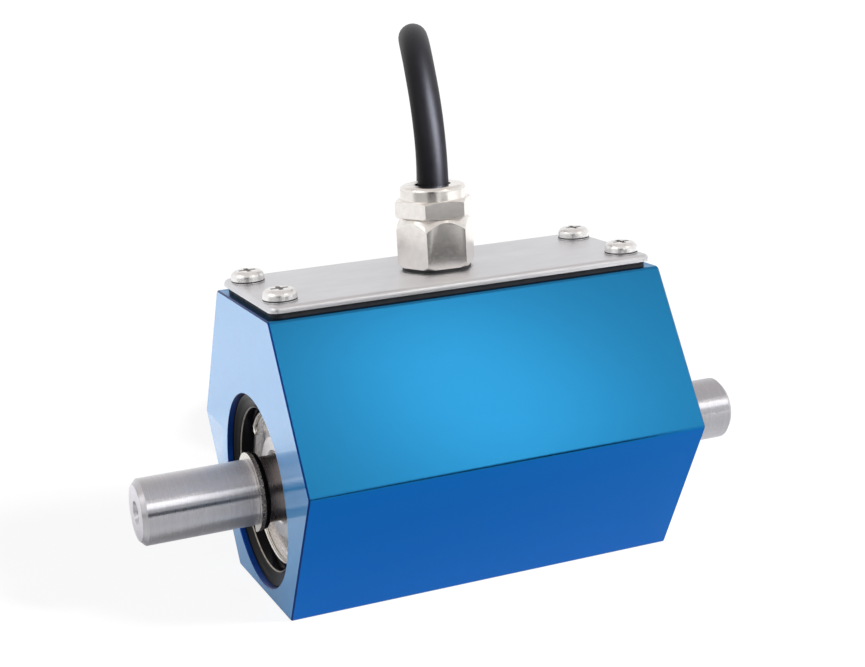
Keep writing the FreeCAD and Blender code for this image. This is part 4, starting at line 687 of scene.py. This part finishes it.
NUT_OUTLINE = [
    (0.0, 3.85), (0.0, 5.0), (0.35, 5.35), (3.2, 6.45), (5.2, 7.0), (5.5, 6.6), (5.9, 6.6),
    (6.2, 7.0), (7.2, 7.0), (7.5, 6.6), (7.9, 6.6), (8.2, 7.0), (10.7, 7.0), (11.0, 6.75),
    (11.0, 3.85), (0.0, 3.85),
]
SHELL_OUTLINE = [
    (11.0, 3.85), (11.0, 7.2), (11.3, 7.5), (14.0, 7.5), (14.2, 7.2), (14.8, 7.2), (15.0, 7.5),
    (16.2, 7.5), (16.4, 7.2), (17.0, 7.2), (17.2, 7.5), (28.7, 7.5), (29.0, 7.2), (29.0, 6.2),
    (42.7, 6.2), (43.0, 5.9), (43.0, 5.2), (29.0, 5.2), (29.0, 3.85), (11.0, 3.85),
]
COUPLING_OUTLINE = [
    (30.0, 6.28), (30.0, 8.7), (30.5, 9.2), (31.4, 9.2), (31.6, 9.0), (32.0, 9.0), (32.2, 9.2),
    (32.25, 9.2), (40.7, 9.2), (40.75, 9.2), (41.0, 9.0), (41.4, 9.0), (41.6, 9.2),
    (42.5, 9.2), (43.0, 8.7), (43.0, 6.28), (30.0, 6.28),
]
# Low and high end, depth, and the segments from one groove to the next.
COUPLING_RIBS = (32.25, 40.7, 0.45, 3)
CONTACTS, CONTACT_RADIUS, CONTACT_LENGTH = 6, 0.6, 4.0
# The contacts stand on a circle of this radius, with their middles at this height.
CONTACT_CIRCLE, CONTACT_HEIGHT = 3.224, 40.0


def on_plug(mesh):
    """Moves a mesh from its own Z axis to the plug's axis, which points along Y."""
    turn = Matrix.Rotation(math.radians(-90), 4, "X")
    mesh.transform(Matrix.Translation([c * MM for c in PLUG_REAR]) @ turn)
    mesh.update()
    return mesh


def make_plug():
    """Round plug with a clamp nut, a shell with grip grooves and a ribbed coupling ring."""
    nut = turned_mesh("plug_nut", NUT_OUTLINE, "nickel_plate")
    shell = turned_mesh("plug_shell_dressed", SHELL_OUTLINE, "nickel_plate")
    ring = turned_mesh("plug_ring_dressed", COUPLING_OUTLINE, "nickel_plate", segments=144,
                       ribs=COUPLING_RIBS)
    return [link_piece(on_plug(mesh), body, "nickel_plate", node)
            for mesh, body, node in ((nut, "sensor_body", "plug_clamp_nut"),
                                     (shell, "sensor_body", "plug_shell"),
                                     (ring, "plug_ring", "plug_coupling_ring"))]


def make_contacts():
    """Gold-coloured contact sleeves in the plug's insert."""
    work = bmesh.new()
    for i in range(CONTACTS):
        angle = 2 * math.pi * i / CONTACTS
        place = Matrix.Translation((CONTACT_CIRCLE * MM * math.cos(angle),
                                    CONTACT_CIRCLE * MM * math.sin(angle), CONTACT_HEIGHT * MM))
        bmesh.ops.create_cone(work, cap_ends=True, segments=20, radius1=CONTACT_RADIUS * MM,
                              radius2=CONTACT_RADIUS * MM, depth=CONTACT_LENGTH * MM,
                              matrix=place)
    mesh = new_mesh(work, "plug_contacts")
    mesh.materials.append(FINISHES["copper"])
    smooth(mesh)
    return link_piece(on_plug(mesh), "sensor_body", "copper")


# Studio

MIDDLE = (0, 0, 0.04)
FLOOR_RADIUS = 8.0
# How brightly the surroundings show, also in reflections, and how much they light the object.
SHOWN, LIGHTING = 1.0, 0.27


def aim(seat, target):
    """Points an object's -Z axis at a target."""
    seat.rotation_euler = (Vector(target) - seat.location).to_track_quat("-Z", "Y").to_euler()


def softbox(name, place, target, size, radiance, colour=(1, 1, 1), pieces=()):
    """A rectangular lamp of a given radiance; where pieces are named, it lights only those."""
    lamp = bpy.data.lights.new(name, "AREA")
    lamp.shape = "RECTANGLE"
    lamp.size, lamp.size_y = size
    # A lamp's energy is four times its area times its radiance.
    lamp.energy = 4 * size[0] * size[1] * radiance
    lamp.color = colour
    seat = new_object(name, lamp)
    seat.location = place
    aim(seat, target)
    if pieces:
        lit = bpy.data.collections.new(name)
        for piece in pieces:
            lit.objects.link(piece)
        seat.light_linking.receiver_collection = lit
    return seat


def bare_material(name):
    """A material without a shader, and its nodes."""
    material = bpy.data.materials.new(name)
    material.use_nodes = True
    tree = material.node_tree
    tree.nodes.remove(tree.nodes["Principled BSDF"])
    return material, tree


def glossy_card(name, place, target, size, colour):
    """A studio card that only reflections see."""
    work = bmesh.new()
    # A square with sides of one metre, which the card's scale brings to its size.
    bmesh.ops.create_grid(work, x_segments=1, y_segments=1, size=0.5)
    mesh = new_mesh(work, name)
    material, tree = bare_material(name)
    glow = add_node(tree, "ShaderNodeEmission", Color=(*colour, 1))
    tree.links.new(glow.outputs[0], tree.nodes["Material Output"].inputs["Surface"])
    mesh.materials.append(material)
    card = new_object(name, mesh)
    card.scale = (*size, 1)
    card.location = place
    aim(card, target)
    for kind in ("camera", "diffuse", "transmission", "shadow", "volume_scatter"):
        setattr(card, f"visible_{kind}", False)


def floor_shader(tree, grey, distance, between, glow):
    """Matt grey that glows from one strength to another between two distances."""
    matt = add_node(tree, "ShaderNodeBsdfDiffuse", Color=(grey, grey, grey, 1))
    ramp = add_node(tree, "ShaderNodeMapRange", From_Min=between[0], From_Max=between[1],
                    To_Min=glow[0], To_Max=glow[1])
    light = add_node(tree, "ShaderNodeEmission")
    both = add_node(tree, "ShaderNodeAddShader")
    tree.links.new(distance, ramp.inputs["Value"])
    tree.links.new(ramp.outputs["Result"], light.inputs["Strength"])
    tree.links.new(matt.outputs[0], both.inputs[0])
    tree.links.new(light.outputs[0], both.inputs[1])
    return both.outputs[0]


def make_floor():
    """Large pale floor that shows nearly white and keeps the object's shadow."""
    work = bmesh.new()
    bmesh.ops.create_circle(work, cap_ends=True, segments=64, radius=FLOOR_RADIUS)
    mesh = new_mesh(work, "floor")
    material, tree = bare_material("floor")
    place = add_node(tree, "ShaderNodeTexCoord").outputs["Object"]
    away = add_node(tree, "ShaderNodeVectorMath", operation="LENGTH")
    tree.links.new(place, away.inputs[0])
    sideways = add_node(tree, "ShaderNodeSeparateXYZ")
    tree.links.new(place, sideways.inputs[0])
    # The camera sees the first; the second is what the object mirrors and what lights it. The
    # second glows dimly in front of the block and brightly behind it, painted shade and light on
    # the floor that reflections show.
    seen = floor_shader(tree, grey=0.14, distance=away.outputs["Value"], between=(0.35, 1.5),
                        glow=(0.90, 1.0))
    mirrored = floor_shader(tree, grey=0.52, distance=sideways.outputs["Y"],
                            between=(-0.04, 0.125), glow=(0.06, 0.66))
    path = add_node(tree, "ShaderNodeLightPath")
    pick = add_node(tree, "ShaderNodeMixShader")
    tree.links.new(path.outputs["Is Camera Ray"], pick.inputs["Fac"])
    tree.links.new(mirrored, pick.inputs[1])
    tree.links.new(seen, pick.inputs[2])
    tree.links.new(pick.outputs[0], tree.nodes["Material Output"].inputs["Surface"])
    mesh.materials.append(material)
    new_object("floor", mesh)


def ray_strength(tree):
    """One strength for camera rays and reflections, another for rays that light a surface."""
    path = add_node(tree, "ShaderNodeLightPath")
    strength = None
    for ray in ("Is Transmission Ray", "Is Glossy Ray", "Is Camera Ray"):
        pick = add_node(tree, "ShaderNodeMix", data_type="FLOAT", A=LIGHTING, B=SHOWN)
        tree.links.new(path.outputs[ray], pick.inputs["Factor"])
        if strength is not None:
            tree.links.new(strength, pick.inputs["A"])
        strength = pick.outputs["Result"]
    return strength


def make_world():
    """White surroundings, greyer overhead, which light the object more gently than they show."""
    world = bpy.data.worlds.new("studio")
    world.use_nodes = True
    bpy.context.scene.world = world
    tree = world.node_tree
    back = tree.nodes["Background"]
    place = add_node(tree, "ShaderNodeTexCoord")
    height = add_node(tree, "ShaderNodeSeparateXYZ")
    ramp = add_node(tree, "ShaderNodeValToRGB")
    low, high = ramp.color_ramp.elements
    low.position, low.color = 0.25, (1.0, 1.0, 1.0, 1)
    high.position, high.color = 0.85, (0.74, 0.70, 0.68, 1)
    tree.links.new(place.outputs["Generated"], height.inputs[0])
    tree.links.new(height.outputs["Z"], ramp.inputs["Fac"])
    tree.links.new(ramp.outputs["Color"], back.inputs["Color"])
    tree.links.new(ray_strength(tree), back.inputs["Strength"])


def make_studio(cable, shaft_pieces):
    """Floor, surroundings, lamps and cards."""
    make_floor()
    make_world()
    softbox("front_softbox", place=(0.475, -0.885, 0.83), target=MIDDLE, size=(0.14, 0.42),
            radiance=2.6, colour=(1, 0.97, 0.86))
    softbox("band_softbox", place=(0.22, -0.98, 0.61), target=(-0.06, 0, 0.026),
            size=(0.90, 0.40), radiance=1.5, pieces=shaft_pieces)
    # The lamp by the cable makes only its shine, and the key lamp makes no highlights.
    strip = softbox("cable_softbox", place=(0.22, -0.374, 0.36), target=(0, 0, 0.11),
                    size=(0.28, 0.75), radiance=42.0, colour=(0.84, 0.87, 1.0), pieces=[cable])
    strip.visible_diffuse = False
    softbox("left_softbox", place=(-0.95, -0.15, 0.75), target=MIDDLE, size=(0.7, 0.5),
            radiance=1.0)
    key = softbox("key_lamp", place=(0.72, -0.80, 0.82), target=MIDDLE, size=(0.30, 0.30),
                  radiance=84.0)
    key.visible_glossy = False
    glossy_card("shaft_flag", place=(-0.01, -0.12, 0.031), target=(-0.062, 0.0, 0.026),
                size=(0.16, 0.029), colour=(0.03, 0.03, 0.032))
    glossy_card("left_flag", place=(-0.2375, -0.46, 0.12), target=(-0.05, 0.0, 0.026),
                size=(0.30, 0.30), colour=(0.04, 0.035, 0.035))
    glossy_card("gland_flag", place=(0.043, -0.16, 0.041), target=(0.0, 0.0, 0.08),
                size=(0.07, 0.038), colour=(0.02, 0.02, 0.022))
    glossy_card("nut_flag", place=(0.043, -0.16, 0.069), target=(0.0, 0.0, 0.09),
                size=(0.07, 0.016), colour=(0.60, 0.59, 0.59))


bpy.context.scene.view_settings.view_transform = "Standard"
make_camera()
make_block_finishes()
make_shaft_finishes()
make_fitting_finishes()
make_inner_finishes()
dress_nodes()
make_block()
for node in ("gland_body", "gland_cap_nut"):
    make_softened(node)
make_plate()
make_screw_shadow_rings()
for side in ("left", "right"):
    make_retaining_ring(side)
shaft = make_shaft()
cable = make_cable()
plug_pieces = [*make_plug(), make_contacts(), NODES["plug_insert"]]
make_studio(cable, [shaft, NODES["left_circlip"]])
